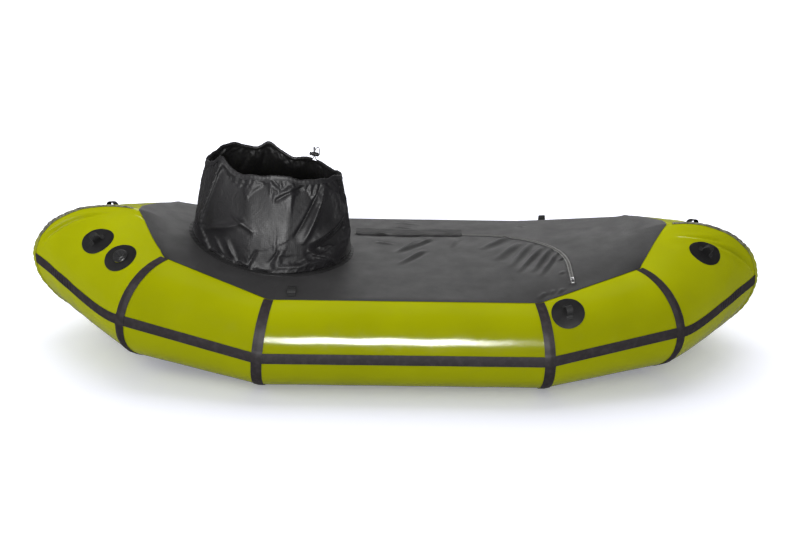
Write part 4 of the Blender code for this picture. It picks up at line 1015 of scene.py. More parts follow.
def moulded_finish(name, colour, roughness):
    """Moulded plastic or rubber: fine spark-eroded grain, worn duller and paler in places."""
    made = Finish(name, roughness, colour)
    wear = made.noise(160.0, 4.0)
    pale = made.between(wear, 0.0, 1.0, 0.45, 0.8)
    made.set("Base Color", made.blend(pale, colour, tinted(colour, 1.6, 0.006)))
    made.set("Roughness", made.between(wear, roughness, roughness + 0.12, 0.4, 0.7))
    made.set("Normal", made.bump(made.noise(1400.0, 2.0), 0.00006, 0.5))
    return made.material


def metal_finish():
    """Plain die-cast metal: satin with fine scratches."""
    made = Finish("satin_metal", 0.32, (0.50, 0.50, 0.51), metallic=1.0)
    scratches = made.noise(500.0, 3.0, distortion=0.5)
    made.set("Roughness", made.between(scratches, 0.24, 0.42, 0.35, 0.7))
    made.set("Normal", made.bump(scratches, 0.00004, 0.4))
    return made.material


def zip_finish(name, colour, margin=None):
    """Coated zip tape and coil: pale grey film with a soft shine. Past the middle 11 mm of a tape's width
    the film is as dark as its margin's colour."""
    made = Finish(name, 0.42, colour, specular_ior_level=0.4)
    rubbed = made.noise(80.0, 4.0)
    film = made.blend(made.between(rubbed, 0.0, 1.0, 0.4, 0.75), tinted(colour, 0.8), tinted(colour, 1.15))
    if margin:
        split = made.node("ShaderNodeSeparateXYZ", {"Vector": made.places.outputs["UV"]}, output=1)
        aside = made.math("ABSOLUTE", made.math("SUBTRACT", split, ZIP_TAPE_WIDTH / 2.0))
        film = made.blend(made.between(aside, 0.0, 1.0, 0.0052, 0.0060), film, margin)
    made.set("Base Color", film)
    made.set("Normal", made.bump(weave_height(made, 1200.0), 0.00004, 0.5))
    return made.material


def seat_finish(settings):
    """Seat cloth: black coated cloth with a visible weave, paler where it has been sat on."""
    colour = tuple(settings.seat)
    return cloth_finish("seat_cloth", 0.55, colour,
                        mottle=((12.0, 4.0), (0.35, 0.7), tinted(colour, 0.8), tinted(colour, 1.5)),
                        weave=(600.0, "UV", 0.00008, 0.6), ripple=((35.0, 3.0), 0.0015, 0.3),
                        sheen_weight=0.3, sheen_roughness=0.5)


FINISHES = {}


def finish(kind):
    """The material of a kind, made once."""
    if kind not in FINISHES:
        hull_settings, cloth = bpy.context.scene.packraft.hull, bpy.context.scene.packraft.cloth
        deck = tuple(cloth.deck)
        FINISHES[kind] = {
            "tube": lambda: tube_finish(hull_settings),
            "tape": lambda: tape_finish(hull_settings),
            "end_tape": lambda: end_tape_finish(hull_settings),
            "deck": lambda: deck_finish("deck_cloth", deck, 0.17, 0.40),
            "flap": lambda: deck_finish("flap_cloth", tinted(deck, 0.7), 0.05, 0.25),
            # The foot binding is a real ring, painted darker than the deck as painted shade where the tunnel
            # meets the deck.
            "binding": lambda: deck_finish("binding_cloth_painted_shade", tinted(deck, 0.7), 0.08, 0.3),
            "tunnel": lambda: tunnel_finish(cloth),
            "floor": floor_finish,
            "patch": patch_finish,
            "webbing": webbing_finish,
            "cord": cord_finish,
            "thread": lambda: moulded_finish("sewing_thread", (0.035, 0.035, 0.036), 0.6),
            "plastic": lambda: moulded_finish("moulded_plastic", (0.020, 0.020, 0.021), 0.34),
            "rubber": lambda: moulded_finish("soft_rubber", (0.012, 0.012, 0.012), 0.65),
            "metal": metal_finish,
            "zip": lambda: zip_finish("zip_film", (0.205, 0.203, 0.194), tinted(deck, 0.8)),
            "coil": lambda: zip_finish("zip_coil_film", (0.120, 0.118, 0.113)),
            "seat": lambda: seat_finish(cloth),
        }[kind]()
    return FINISHES[kind]


def dress(piece, body, kind, *nodes):
    """Give a piece its finish, the body it rides on, and the frame's nodes it stands for."""
    piece.data.materials.clear()
    piece.data.materials.append(finish(kind))
    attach(piece, body)
    if nodes:
        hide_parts(*nodes)
    return piece


# Tubes and tapes

class PACKRAFT_OT_tubes(bpy.types.Operator):
    """Blow up the ten tube segments."""

    bl_idname = "packraft.tubes"
    bl_label = "Inflate the tubes"

    def execute(self, context):
        spans = (("end_stern", 0, STERN_JOINT, 0.0025), ("quarter_stern", STERN_JOINT, STERN_RING, 0.007),
                 ("middle", STERN_RING, BOW_RING, 0.008), ("quarter_bow", BOW_RING, BOW_JOINT, 0.007),
                 ("end_bow", BOW_JOINT, LAST_STATION, 0.0025))
        for label, first, last, spacing in spans:
            columns = 200 if label.startswith("end") else 120
            angles = np.arange(columns) * 360.0 / columns - 180.0
            stations = stations_between(first, last, spacing, 1.5 * GAP)[:, None]
            for side, port in SIDES:
                name = "tube_" + label + "_" + side
                piece = hull_skin("air_" + name, stations, angles, -TUBE_SKIN, TUBE_SKIN, port,
                                  wrap_columns=True)
                dress(piece, "hull", "tube", name)
        return {"FINISHED"}


def equator_stations():
    """Stations round the widest line, close together where the tape is pleated."""
    return np.concatenate([stations_between(0, STERN_JOINT, 0.0016)[:-1],
                           stations_between(STERN_JOINT, BOW_JOINT, 0.008)[:-1],
                           stations_between(BOW_JOINT, LAST_STATION, 0.0016)])


def make_equator_tape():
    """One tape right round the widest line. Its pleats are the ladder's, standing 3 mm out."""
    stations = equator_stations()
    across = np.linspace(-1.0, 1.0, 9)
    half_angle = np.degrees(TAPE_HALF_WIDTH / np.interp(stations, STATIONS, RADII))
    angles = half_angle[:, None] * across
    edge = 1.0 - np.abs(across) ** 6
    stand = EQUATOR_LIFT + 0.0030 * ladder(run_at(stations))[:, None] * edge
    layers = []
    for offset in (TAPE_SKIN, 0.0):
        starboard = on_hull(stations[:, None], angles, stand + offset, False)
        port = sided(starboard[-2:0:-1], True)
        layers.append(np.concatenate([starboard, port]))
    dress(skin("equator_seam_tape", layers[0], layers[1], wrap_rows=True), "hull", "tape", "equator_tape")


def bridge(girth):
    """How far a tape lifts where it crosses the widest line's tape: a smooth step to each side of it."""
    return BRIDGE_LIFT * smooth_step((TAPE_HALF_WIDTH + 0.006 - np.abs(girth)) / 0.006)


def make_ring_tapes():
    """A tape round each tube joint, from under the hull to the deck edge, lifted over the widest line."""
    for label, joint in (("stern_end", STERN_JOINT), ("stern_middle", STERN_RING),
                         ("bow_middle", BOW_RING), ("bow_end", BOW_JOINT)):
        angles = np.linspace(RING_TAPE_LOW, DECK_ANGLES[joint] - 1.0, 110)[:, None]
        lengths = [np.linalg.norm(hull(float(joint), 0.0) - hull(joint + step, 0.0)) for step in (-1.0, 1.0)]
        before, after = joint - TAPE_HALF_WIDTH / lengths[0], joint + TAPE_HALF_WIDTH / lengths[1]
        stations = np.concatenate([np.linspace(before, joint, 5), np.linspace(joint, after, 5)[1:]])[None]
        girth = girth_at(joint, angles)
        lift = RING_LIFT + bridge(girth) + 0.0002 * np.sin(girth / 0.006)
        for side, port in SIDES:
            name = "ring_tape_" + label + "_" + side
            piece = hull_skin("joint_" + name, stations, angles, lift, TAPE_SKIN, port)
            dress(piece, "hull", "tape", name)


def make_seam_tapes():
    """The tape over each end seam, folded over the ridge between port and starboard. Its pleats are the
    skin's, a little deeper in its middle, and it is lifted over the widest line."""
    for label, tip, step in (("stern", 0, 1), ("bow", LAST_STATION, -1)):
        low, high = FLOOR_AT_TUBE + 8.0, DECK_ANGLES[tip] - 4.0
        angles = np.linspace(low, high, int(RADII[tip] * math.radians(high - low) / 0.0015))[:, None]
        length = np.linalg.norm(hull(float(tip), 30.0) - hull(float(tip + step), 30.0))
        reach = np.linspace(1.0, 0.0, 6)[None]
        stations = tip + step * reach * SEAM_TAPE_HALF_WIDTH / length
        girth = girth_at(tip, angles)
        lift = 0.0009 + bridge(girth) + 0.0006 * pleats(girth) * (1.0 - reach ** 4)
        layers = []
        for offset in (TAPE_SKIN, 0.0):
            side = on_hull(stations, angles, lift + offset, False)
            layers.append(np.concatenate([side, sided(side[:, -2::-1], True)], axis=1))
        dress(skin("end_seam_tape_" + label, layers[0], layers[1]), "hull", "end_tape", "seam_tape_" + label)


class PACKRAFT_OT_tapes(bpy.types.Operator):
    """Weld the tapes over the seams."""

    bl_idname = "packraft.tapes"
    bl_label = "Tape the seams"

    def execute(self, context):
        make_equator_tape()
        make_ring_tapes()
        make_seam_tapes()
        return {"FINISHED"}


# Deck and floor

class Sheet:
    """A sheet stretched across the hull: rows square to the boat, columns at fixed shares of the width
    on both sides of each row's middle."""

    def __init__(self, x, middle, half, fractions, heights):
        self.x, self.middle, self.half, self.fractions, self.heights = x, middle, half, fractions, heights

    def grid(self):
        x = np.repeat(self.x[:, None], len(self.fractions), axis=1)
        y = self.middle[:, None] + self.half[:, None] * self.fractions
        return np.stack([x, y, self.heights], axis=-1)

    def height(self, x, y):
        """Height at any place: the mean of the four grid heights about it, weighted by nearness."""
        x, y = np.broadcast_arrays(np.asarray(x, float), np.asarray(y, float))
        row = np.clip(np.interp(x, self.x, np.arange(len(self.x))), 0, len(self.x) - 1.000001)
        share = (y - np.interp(x, self.x, self.middle)) / np.interp(x, self.x, self.half)
        column = np.interp(share, self.fractions, np.arange(len(self.fractions)))
        column = np.clip(column, 0, len(self.fractions) - 1.000001)
        r, c = row.astype(int), column.astype(int)
        dr, dc = row - r, column - c
        z = self.heights
        low = z[r, c] * (1.0 - dc) + z[r, c + 1] * dc
        high = z[r + 1, c] * (1.0 - dc) + z[r + 1, c + 1] * dc
        return low * (1.0 - dr) + high * dr

    def points(self, x, y, lift=0.0):
        x, y = np.broadcast_arrays(np.asarray(x, float), np.asarray(y, float))
        return np.stack([x, y, self.height(x, y) + lift], axis=-1)


def tube_heights(x, y, above):
    """Height of the tubes' upper or lower side over each place of a grid, or NaN beside them. At each
    angle round the tube the hull's line is read where it crosses a row, and then across the row."""
    angles = np.linspace(40.0, 150.0, 56) if above else np.linspace(-40.0, -150.0, 56)
    lines = hull(FINE_STATIONS[:, None], angles)
    cross = np.stack([[np.interp(x[:, 0], line[:, 0], line[:, k]) for k in (1, 2)]
                      for line in lines.transpose(1, 0, 2)], axis=-1)
    found = np.full(x.shape, np.nan)
    for row in range(len(x)):
        across, height = np.abs(cross[0, row]), cross[1, row]
        order = np.argsort(across)
        found[row] = np.interp(np.abs(y[row]), across[order], height[order], left=np.nan, right=np.nan)
    return found


def taut(heights, x, half, fractions, limit, above, passes):
    """Heights of a taut sheet held at its edges: each is the mean of its four neighbours, weighted by how
    near they are, and kept on its own side of the tubes."""
    back = np.diff(x)[:-1, None]
    ahead = np.diff(x)[1:, None]
    left = half[1:-1, None] * np.diff(fractions)[None, :-1]
    right = half[1:-1, None] * np.diff(fractions)[None, 1:]
    weights = [2.0 / (back * (back + ahead)), 2.0 / (ahead * (back + ahead)),
               2.0 / (left * (left + right)), 2.0 / (right * (left + right))]
    total = sum(weights)
    for _ in range(passes):
        heights[1:-1, 1:-1] = (weights[0] * heights[:-2, 1:-1] + weights[1] * heights[2:, 1:-1]
                               + weights[2] * heights[1:-1, :-2] + weights[3] * heights[1:-1, 2:]) / total
        heights = np.fmax(heights, limit) if above else np.fmin(heights, limit)
    return heights


def stretched_sheet(degrees, port_degrees, offset, clearance, ends_in, above, columns):
    """A sheet from the starboard edge to the port edge, settled on a coarse grid and then on a fine one.
    Each edge lies at its own angles round the tube."""
    stations = np.concatenate([stations_between(ends_in, STERN_JOINT, SHEET_EVERY)[:-1],
                               stations_between(STERN_JOINT, STERN_RING, SHEET_EVERY)[:-1],
                               stations_between(STERN_RING, BOW_RING, 0.0055)[:-1],
                               stations_between(BOW_RING, BOW_JOINT, SHEET_EVERY)[:-1],
                               stations_between(BOW_JOINT, LAST_STATION - ends_in, SHEET_EVERY)])
    edge = hull(stations, np.interp(stations, STATIONS, degrees), offset)
    port = hull(stations, np.interp(stations, STATIONS, port_degrees), offset)
    x, starboard_y, starboard_z = edge.T
    port_y, port_z = -np.interp(x, port[:, 0], port[:, 1]), np.interp(x, port[:, 0], port[:, 2])
    middle, half = (port_y + starboard_y) / 2.0, (port_y - starboard_y) / 2.0
    fractions = np.linspace(-1.0, 1.0, columns)
    rows = np.unique(np.concatenate([np.arange(0, len(x), 6), [len(x) - 1]]))
    few = np.arange(0, columns, 5)
    across = (fractions + 1.0) / 2.0
    heights = starboard_z[rows, None] + (port_z - starboard_z)[rows, None] * across[few]
    for step in (0, 1):
        used, shares = (rows, fractions[few]) if step == 0 else (np.arange(len(x)), fractions)
        xs, halves = x[used], half[used]
        if step == 1:
            heights = read_off(fractions, fractions[few], read_off(x, x[rows], heights).T).T
            heights[:, 0], heights[:, -1] = starboard_z, port_z
        grid_x = np.repeat(xs[:, None], len(shares), axis=1)
        grid_y = middle[used, None] + halves[:, None] * shares
        limit = tube_heights(grid_x, grid_y, above) + (clearance if above else -clearance)
        heights = taut(heights, xs, halves, shares, limit, above,
                       COARSE_PASSES if step == 0 else FINE_PASSES)
    return Sheet(x, middle, half, fractions, heights)


def deck_waves(x, y, from_edge):
    """The deck's folds, added up, with slow sines for the cloth's own waviness. All of it dies away
    within 3 cm of the glued edges, under the tunnel's foot and where the zip's slider runs."""
    places = np.stack([x, y], axis=-1)
    height = np.zeros(x.shape)
    for start, end, width, rise in DECK_FOLDS:
        height += fold_height(places, np.array(start), np.array(end), width, rise)
    height *= bpy.context.scene.packraft.cloth.fold
    height += 0.0007 * np.sin(x / 0.045 + 2.0 * np.sin(y / 0.09)) * np.sin(y / 0.052 + 0.7)
    oval = np.hypot((x - TUNNEL_X) / (TUNNEL_BASE[0] + 0.03), y / (TUNNEL_BASE[1] + 0.03))
    from_tunnel = np.clip((oval - 1.0) / 0.15, 0.0, 1.0)
    past_leg = np.maximum(np.abs(x - ZIP_BOW_X) - 0.010, np.maximum(ZIP_END_Y - 0.005 - y, y - ZIP_BEND_Y))
    from_slider = np.clip(past_leg / 0.014, 0.0, 1.0)
    return height * smooth_step(from_edge / 0.030) * from_tunnel * from_slider


SHEETS = {}


def deck_sheet():
    """The deck's upper side, worked out once."""
    if "deck" not in SHEETS:
        from_tip = np.minimum(STATIONS, LAST_STATION - STATIONS)
        port_angles = DECK_ANGLES - PORT_DECK_OUT * np.minimum(from_tip / END_STEPS, 1.0) ** 0.5
        made = stretched_sheet(DECK_ANGLES, port_angles, 0.0012, 0.0012, 0.12, True, DECK_COLUMNS)
        made.heights = made.heights + DECK_SKIN
        grid = made.grid()
        from_edge = made.half[:, None] * (1.0 - np.abs(made.fractions))
        made.heights = made.heights + deck_waves(grid[..., 0], grid[..., 1], from_edge)
        SHEETS["deck"] = made
    return SHEETS["deck"]


class PACKRAFT_OT_deck(bpy.types.Operator):
    """Stretch the spray deck over the tubes, with the hole for the cockpit."""

    bl_idname = "packraft.deck"
    bl_label = "Stretch the deck"

    def execute(self, context):
        sheet = deck_sheet()
        points = sheet.grid()
        reach = np.array(TUNNEL_BASE) - FOOT_MARGIN
        middle = np.array([TUNNEL_X, 0.0])
        from_middle = (points[..., :2] - middle) / reach
        oval = np.linalg.norm(from_middle, axis=-1)
        inside = oval < 1.0
        corner_rows, corner_columns = grid_cells(*inside.shape)
        keep = ~inside[corner_rows, corner_columns].all(axis=1)
        onto = from_middle / np.maximum(oval, 1e-6)[..., None] * reach + middle
        x = np.where(inside, onto[..., 0], points[..., 0])
        y = np.where(inside, onto[..., 1], points[..., 1])
        top = np.stack([x, y, np.where(inside, sheet.height(x, y), points[..., 2])], axis=-1)
        piece = skin("spray_deck", top, top - UP * DECK_SKIN, keep=keep)
        dress(piece, "hull", "deck", "deck_sheet")
        return {"FINISHED"}


class PACKRAFT_OT_floor(bpy.types.Operator):
    """Stretch the floor under the tubes."""

    bl_idname = "packraft.floor"
    bl_label = "Stretch the floor"

    def execute(self, context):
        upper = floor_sheet().grid()
        piece = skin("boat_floor", upper, upper - UP * FLOOR_SKIN)
        dress(piece, "hull", "floor", "floor_sheet")
        floor_sheet()
        return {"FINISHED"}


def floor_sheet():
    """The floor's upper side, flat on the ground between the middle tubes and rising with the ends."""
    if "floor" not in SHEETS:
        angles = np.full(LAST_STATION + 1, FLOOR_AT_TUBE)
        made = stretched_sheet(angles, angles, 0.0016, 0.0024, 0.25, False, FLOOR_COLUMNS)
        rise = made.heights - FLOOR_SKIN
        inside = np.clip((1.0 - np.abs(made.fractions)) / 0.2, 0.0, 1.0)
        kept = 1.0 - inside * (1.0 - smooth_step((rise - FLOOR_FLAT) / FLOOR_BLEND))
        made.heights = FLOOR_SKIN + np.where(rise < FLOOR_FLAT, 0.0, rise * kept)
        SHEETS["floor"] = made
    return SHEETS["floor"]


# Patches and webbing loops

def round_patch(name, place, port, hole=0.0):
    """A round patch that follows the tube. Its rim is a little thicker in waves where the glue pools."""
    spokes = turns(96)
    reach = np.linspace(hole, PATCH_RADIUS, 14)[:, None]
    station, degrees = around(place, reach * np.cos(spokes), reach * np.sin(spokes))
    edge = np.clip((reach - 0.8 * PATCH_RADIUS) / (0.2 * PATCH_RADIUS), 0.0, 1.0)
    lift = PATCH_LIFT - 0.0004 * edge ** 2 + 0.00015 * edge * np.sin(11.0 * spokes)
    outer = on_hull(station, degrees, lift + PATCH_SKIN, port)
    inner = on_hull(station, degrees, lift, port)
    if not hole:
        outer[0], inner[0] = outer[0].mean(axis=0), inner[0].mean(axis=0)
    made = skin(name, outer, inner, wrap_columns=True)
    if not hole:
        weld(made)
    return made


def weld(piece):
    """Close a pole where a whole row of points meets."""
    shape = bmesh.new()
    shape.from_mesh(piece.data)
    bmesh.ops.remove_doubles(shape, verts=shape.verts, dist=MERGE)
    thin = [face for face in shape.faces if face.calc_area() < 1e-14]
    bmesh.ops.delete(shape, geom=thin, context="FACES_ONLY")
    shape.to_mesh(piece.data)
    shape.free()


def webbing_loop(name, place, port):
    """A webbing strap over its patch: flat feet and a half-circle arch between them."""
    base = PATCH_LIFT + PATCH_SKIN + 2.0 * GAP + WEBBING / 2.0
    half = LOOP_SPAN / 2.0
    turn = np.linspace(0.0, math.pi, 33)
    foot = np.linspace(half + LOOP_FOOT, half + 0.002, 7)
    across = np.concatenate([-foot, -half * np.cos(turn), foot[::-1]])
    rise = np.concatenate([np.zeros(7), 0.0015 + LOOP_HEIGHT * np.sin(turn) ** 0.9, np.zeros(7)])
    rise = np.convolve(np.pad(rise, 2, mode="edge"), np.ones(5) / 5.0, mode="valid")
    station, degrees = around(place, np.zeros(across.shape), across)
    path = sided(hull(station, degrees, base + rise), port)
    along = local_frame(place, port)[1]
    dress(swept("strap_" + name, strap_rings(path, along, LOOP_WIDTH, WEBBING)), "hull", "webbing", name)
    sew_feet(name, place, port, base + WEBBING / 2.0, half)


def sew_feet(name, place, port, height, half):
    """Box stitching on both feet of a loop: three rows of thread across each foot."""
    lines = []
    for sign in (-1.0, 1.0):
        for share in (0.25, 0.6, 0.95):
            at = sign * (half + 0.002 + share * (LOOP_FOOT - 0.002))
            station, degrees = around(place, np.array([-0.008, 0.008]), np.full(2, at))
            ends = sided(hull(station, degrees, height), port)
            lines.append((ends[0], ends[1]))
    normal = local_frame(place, port)[2]
    dress(stitch_rows("thread_" + name, lines, normal), "hull", "thread")


class PACKRAFT_OT_patches(bpy.types.Operator):
    """Glue on the round patches and sew their webbing loops."""

    bl_idname = "packraft.patches"
    bl_label = "Glue the patches"

    def execute(self, context):
        for label, place in PATCHES.items():
            for side, port in SIDES:
                name = label + "_" + side
                piece = round_patch("glued_patch_" + name, place, port)
                dress(piece, "hull", "patch", "patch_" + name)
                webbing_loop("loop_" + name, place, port)
        return {"FINISHED"}


# Valve

def valve_frame():
    """The valve's own frame, read from its joints: Z outward, X towards the cap's hinge."""
    screw, hinge = JOINTS["valve_unscrew"], JOINTS["valve_cap_hinge"]
    origin = np.array(screw["pos_m"])
    return frame_at(origin, screw["axis"], np.array(hinge["pos_m"]) - origin)


class PACKRAFT_OT_valve(bpy.types.Operator):
    """Fit the air valve: its patch, flange, screw-in body, flap and hinged cap."""

    bl_idname = "packraft.valve"
    bl_label = "Fit the valve"

    def execute(self, context):
        place = valve_frame()
        piece = round_patch("glued_valve_patch", VALVE_PLACE, False, hole=VALVE_HOLE + 0.0012)
        dress(piece, "hull", "patch", "valve_patch")
        flange = [(0.0160, -0.0100), (0.0190, -0.0100), (0.0190, 0.0014), (0.0228, 0.0014),
                  (0.0228, 0.0026), (0.0218, 0.0034), (0.0214, 0.0030), (0.0208, 0.0040),
                  (0.0204, 0.0044), (0.0160, 0.0044)]
        dress(turned("moulded_flange", flange, place, radius=0.0004), "hull", "plastic", "valve_flange")
        body = [(0.0105, -0.0080), (0.0156, -0.0080), (0.0156, 0.0048), (0.0200, 0.0048),
                (0.0200, 0.0074), (0.0188, 0.0084), (0.0105, 0.0084)]
        turned_body = turned("moulded_valve_body", body, place, segments=192, radius=0.0005, grip=0.0007,
                             grips=32, grip_from=0.0186)
        dress(turned_body, "valve_body", "plastic", "valve_body")
        fit_block("cap_lug", (0.0184, -0.0034, 0.0056), (0.0215, 0.0034, 0.0082), place, 0.0004,
                  "valve_body", "plastic")
        flap = [(0.0, -0.0092), (0.0125, -0.0092), (0.0125, -0.0084), (0.0, -0.0084)]
        dress(turned("valve_rubber_flap", flap, place, radius=0.0002), "valve_flap", "rubber", "valve_flap")
        self.make_spokes(place)
        self.make_cap(place)
        return {"FINISHED"}

    def make_spokes(self, place):
        """Two crossed bars in the body's bore, which carry the flap."""
        for number in range(2):
            turned_place = place @ np.array(Matrix.Rotation(number * math.pi / 2.0, 4, "Z"))
            low = (-0.0108, -0.0008, -0.0082 + 0.0002 * number)
            fit_block("valve_spoke_" + str(number), low, (0.0108, 0.0008, -0.0066), turned_place, 0.0003,
                      "valve_body", "plastic")

    def make_cap(self, place):
        """The cap: a plug with a dished top, a grip bar across it, and a tab at the hinge."""
        cap = [(0.0, 0.0054), (0.0098, 0.0054), (0.0098, 0.0087), (0.0178, 0.0087), (0.0178, 0.0110),
               (0.0168, 0.0119), (0.0150, 0.0119), (0.0142, 0.0112), (0.0, 0.0112)]
        piece = turned("moulded_cap", cap, place, segments=144, radius=0.0004)
        dress(piece, "valve_cap", "plastic", "valve_cap")
        fit_block("cap_bar", (-0.0150, -0.0021, 0.0105), (0.0150, 0.0021, 0.0150), place, 0.0009,
                  "valve_cap", "plastic")
        fit_block("cap_tab", (0.0160, -0.0034, 0.0090), (0.0213, 0.0034, 0.0106), place, 0.0004,
                  "valve_cap", "plastic")


# Tunnel

def unrolled(degrees, height):
    """Where a turn and a share of the height lie on the tunnel's cloth laid out flat."""
    across = np.radians(degrees) * UNROLLED_RADIUS
    return np.stack(np.broadcast_arrays(across, height * UNROLLED_HEIGHT), axis=-1)


def tunnel_fold(turn, height):
    """How far the slack cloth stands in or out. On the starboard side it is the tunnel's folds added up,
    and on the port side runs of sines that lean as they rise. Both fade at the seam and the rim."""
    places = unrolled(np.mod(np.degrees(turn), 360.0), height)
    folds = sum(fold_height(places, unrolled(*start), unrolled(*end), width, rise)
                for start, end, width, rise in TUNNEL_FOLDS)
    port = 0.5 + 0.5 * np.tanh(5.0 * np.sin(turn))
    wide = 0.0065 * np.sin(5.0 * turn + 1.0 + 2.2 * height)
    fine = 0.0045 * np.sin(9.0 * turn - 3.0 * height + 0.5)
    fade = 0.35 + 2.6 * height * (1.0 - height)
    at_seams = np.clip(height / 0.04, 0.0, 1.0) * np.clip((1.0 - height) / 0.03, 0.2, 1.0)
    return fade * port * (wide + fine) + 0.5 * folds * at_seams


def tunnel_creases(turn, height):
    """The crisp lines at the tops of the tunnel's folds: each falls off on both sides by a power of e."""
    places = unrolled(np.mod(np.degrees(turn), 360.0), height)
    creases = 0.0
    for start, end, width, rise in TUNNEL_FOLDS:
        along, aside = beside_fold(places, unrolled(*start), unrolled(*end))
        taper = np.sin(math.pi * np.clip(along, 0.0, 1.0)) ** 0.6
        creases = creases + 0.8 * rise * taper * np.exp(-np.abs(aside) / (0.45 * width))
    return creases * np.clip(height / 0.05, 0.0, 1.0) * np.clip((1.0 - height) / 0.08, 0.0, 1.0)


def lock_fade(turn):
    """0 at the cord lock and 1 away from it."""
    away = np.angle(np.exp(1j * (turn - LOCK_TURN)))
    return 1.0 - np.exp(-(away / math.radians(22.0)) ** 4)


def tunnel_rim_height(turn):
    """Rim height: low at the bow end and high at the stern, with bell-shaped humps and dips, and waves
    where the hem is gathered."""
    places, widths, rises = np.array(RIM_WAVES).T
    away = np.degrees(np.angle(np.exp(1j * (np.asarray(turn)[..., None] - np.radians(places)))))
    humps = np.exp(-(away / widths) ** 2) @ rises
    waves = 0.0016 * np.sin(13.0 * turn) + 0.0012 * np.sin(23.0 * turn)
    return TUNNEL_RIM_Z - 0.028 * np.cos(turn) + 0.008 * np.sin(turn) + humps + waves * lock_fade(turn)


def tunnel_points(turn, height):
    """The tunnel's cloth: an oval at the deck blending to a smaller oval at the rim, bulging between."""
    bulge = 0.012 * np.sin(math.pi * height) + tunnel_fold(turn, height)
    reach_x = TUNNEL_BASE[0] + (TUNNEL_RIM[0] - TUNNEL_BASE[0]) * height ** 1.6
    reach_y = TUNNEL_BASE[1] + (TUNNEL_RIM[1] - TUNNEL_BASE[1]) * height ** 1.2
    x = TUNNEL_X + (TUNNEL_RIM_X - TUNNEL_X) * height + (reach_x + bulge) * np.cos(turn)
    y = (reach_y + bulge) * np.sin(turn)
    low = deck_sheet().height(x, y) + 2.0 * GAP
    z = low * (1.0 - height) + tunnel_rim_height(turn) * height
    return np.stack([x, y, z], axis=-1)


def grid_normals(points):
    """Outward normals of a grid whose columns go round: the cross product of its two directions, facing
    away from its middle."""
    across = (np.roll(points, -1, axis=1) - np.roll(points, 1, axis=1)) / 2.0
    normal = unit(np.cross(across, np.gradient(points, axis=0)))
    return -normal if np.sum(normal * (points - points.mean(axis=(0, 1)))) < 0.0 else normal


def crumple(points, pinned, slack):
    """Settle a tube of cloth that is cut larger than the space it fills, by Blender's cloth. Pinned points
    stay, and no other moves further than the limit."""
    mesh = bpy.data.meshes.new("settling")
    mesh.from_pydata(points.reshape(-1, 3).tolist(), [], grid_faces(points, False, True)[0].tolist())
    cloth = bpy.data.objects.new("settling", mesh)
    bpy.context.scene.collection.objects.link(cloth)
    held = cloth.vertex_groups.new(name="held")
    held.add([int(number) for number in np.flatnonzero(pinned.ravel())], 1.0, "REPLACE")
    change = cloth.modifiers.new("settle", "CLOTH")
    for key, value in (("vertex_group_mass", "held"), ("quality", 6), ("mass", 0.05), ("shrink_min", -slack),
                       ("tension_stiffness", 25.0), ("compression_stiffness", 25.0),
                       ("shear_stiffness", 8.0), ("bending_stiffness", 0.01)):
        setattr(change.settings, key, value)
    change.settings.effector_weights.gravity = 0.3
    change.collision_settings.use_collision = False
    change.point_cache.frame_start = 1
    change.point_cache.frame_end = SETTLE_FRAMES
    for number in range(1, SETTLE_FRAMES + 1):
        bpy.context.scene.frame_set(number)
    settled = cloth.evaluated_get(bpy.context.evaluated_depsgraph_get()).data
    moved = np.zeros(points.size)
    settled.vertices.foreach_get("co", moved)
    bpy.context.scene.frame_set(1)
    bpy.data.objects.remove(cloth)
    if not np.isfinite(moved).all():
        raise RuntimeError("the cloth did not settle")
    shift = moved.reshape(points.shape) - points
    length = np.linalg.norm(shift, axis=-1, keepdims=True)
    return points + shift * np.minimum(1.0, SETTLE_LIMIT / np.maximum(length, 1e-9))


def refined(points):
    """A grid whose columns go round, with a point added between each two of its own, on the Catmull-Rom
    curve through their neighbours."""
    for axis in (0, 1):
        own = np.moveaxis(points, axis, 0)
        longer = run_on(own) if axis == 0 else np.concatenate([own[-1:], own, own[:2]])
        mixed = np.stack([longer[1:-2], catmull_rom(longer, 0.5)], axis=1).reshape((-1,) + own.shape[1:])
        if axis == 0:
            mixed = np.concatenate([mixed, own[-1:]])
        points = np.moveaxis(mixed, 0, axis)
    return points


RIM = {}


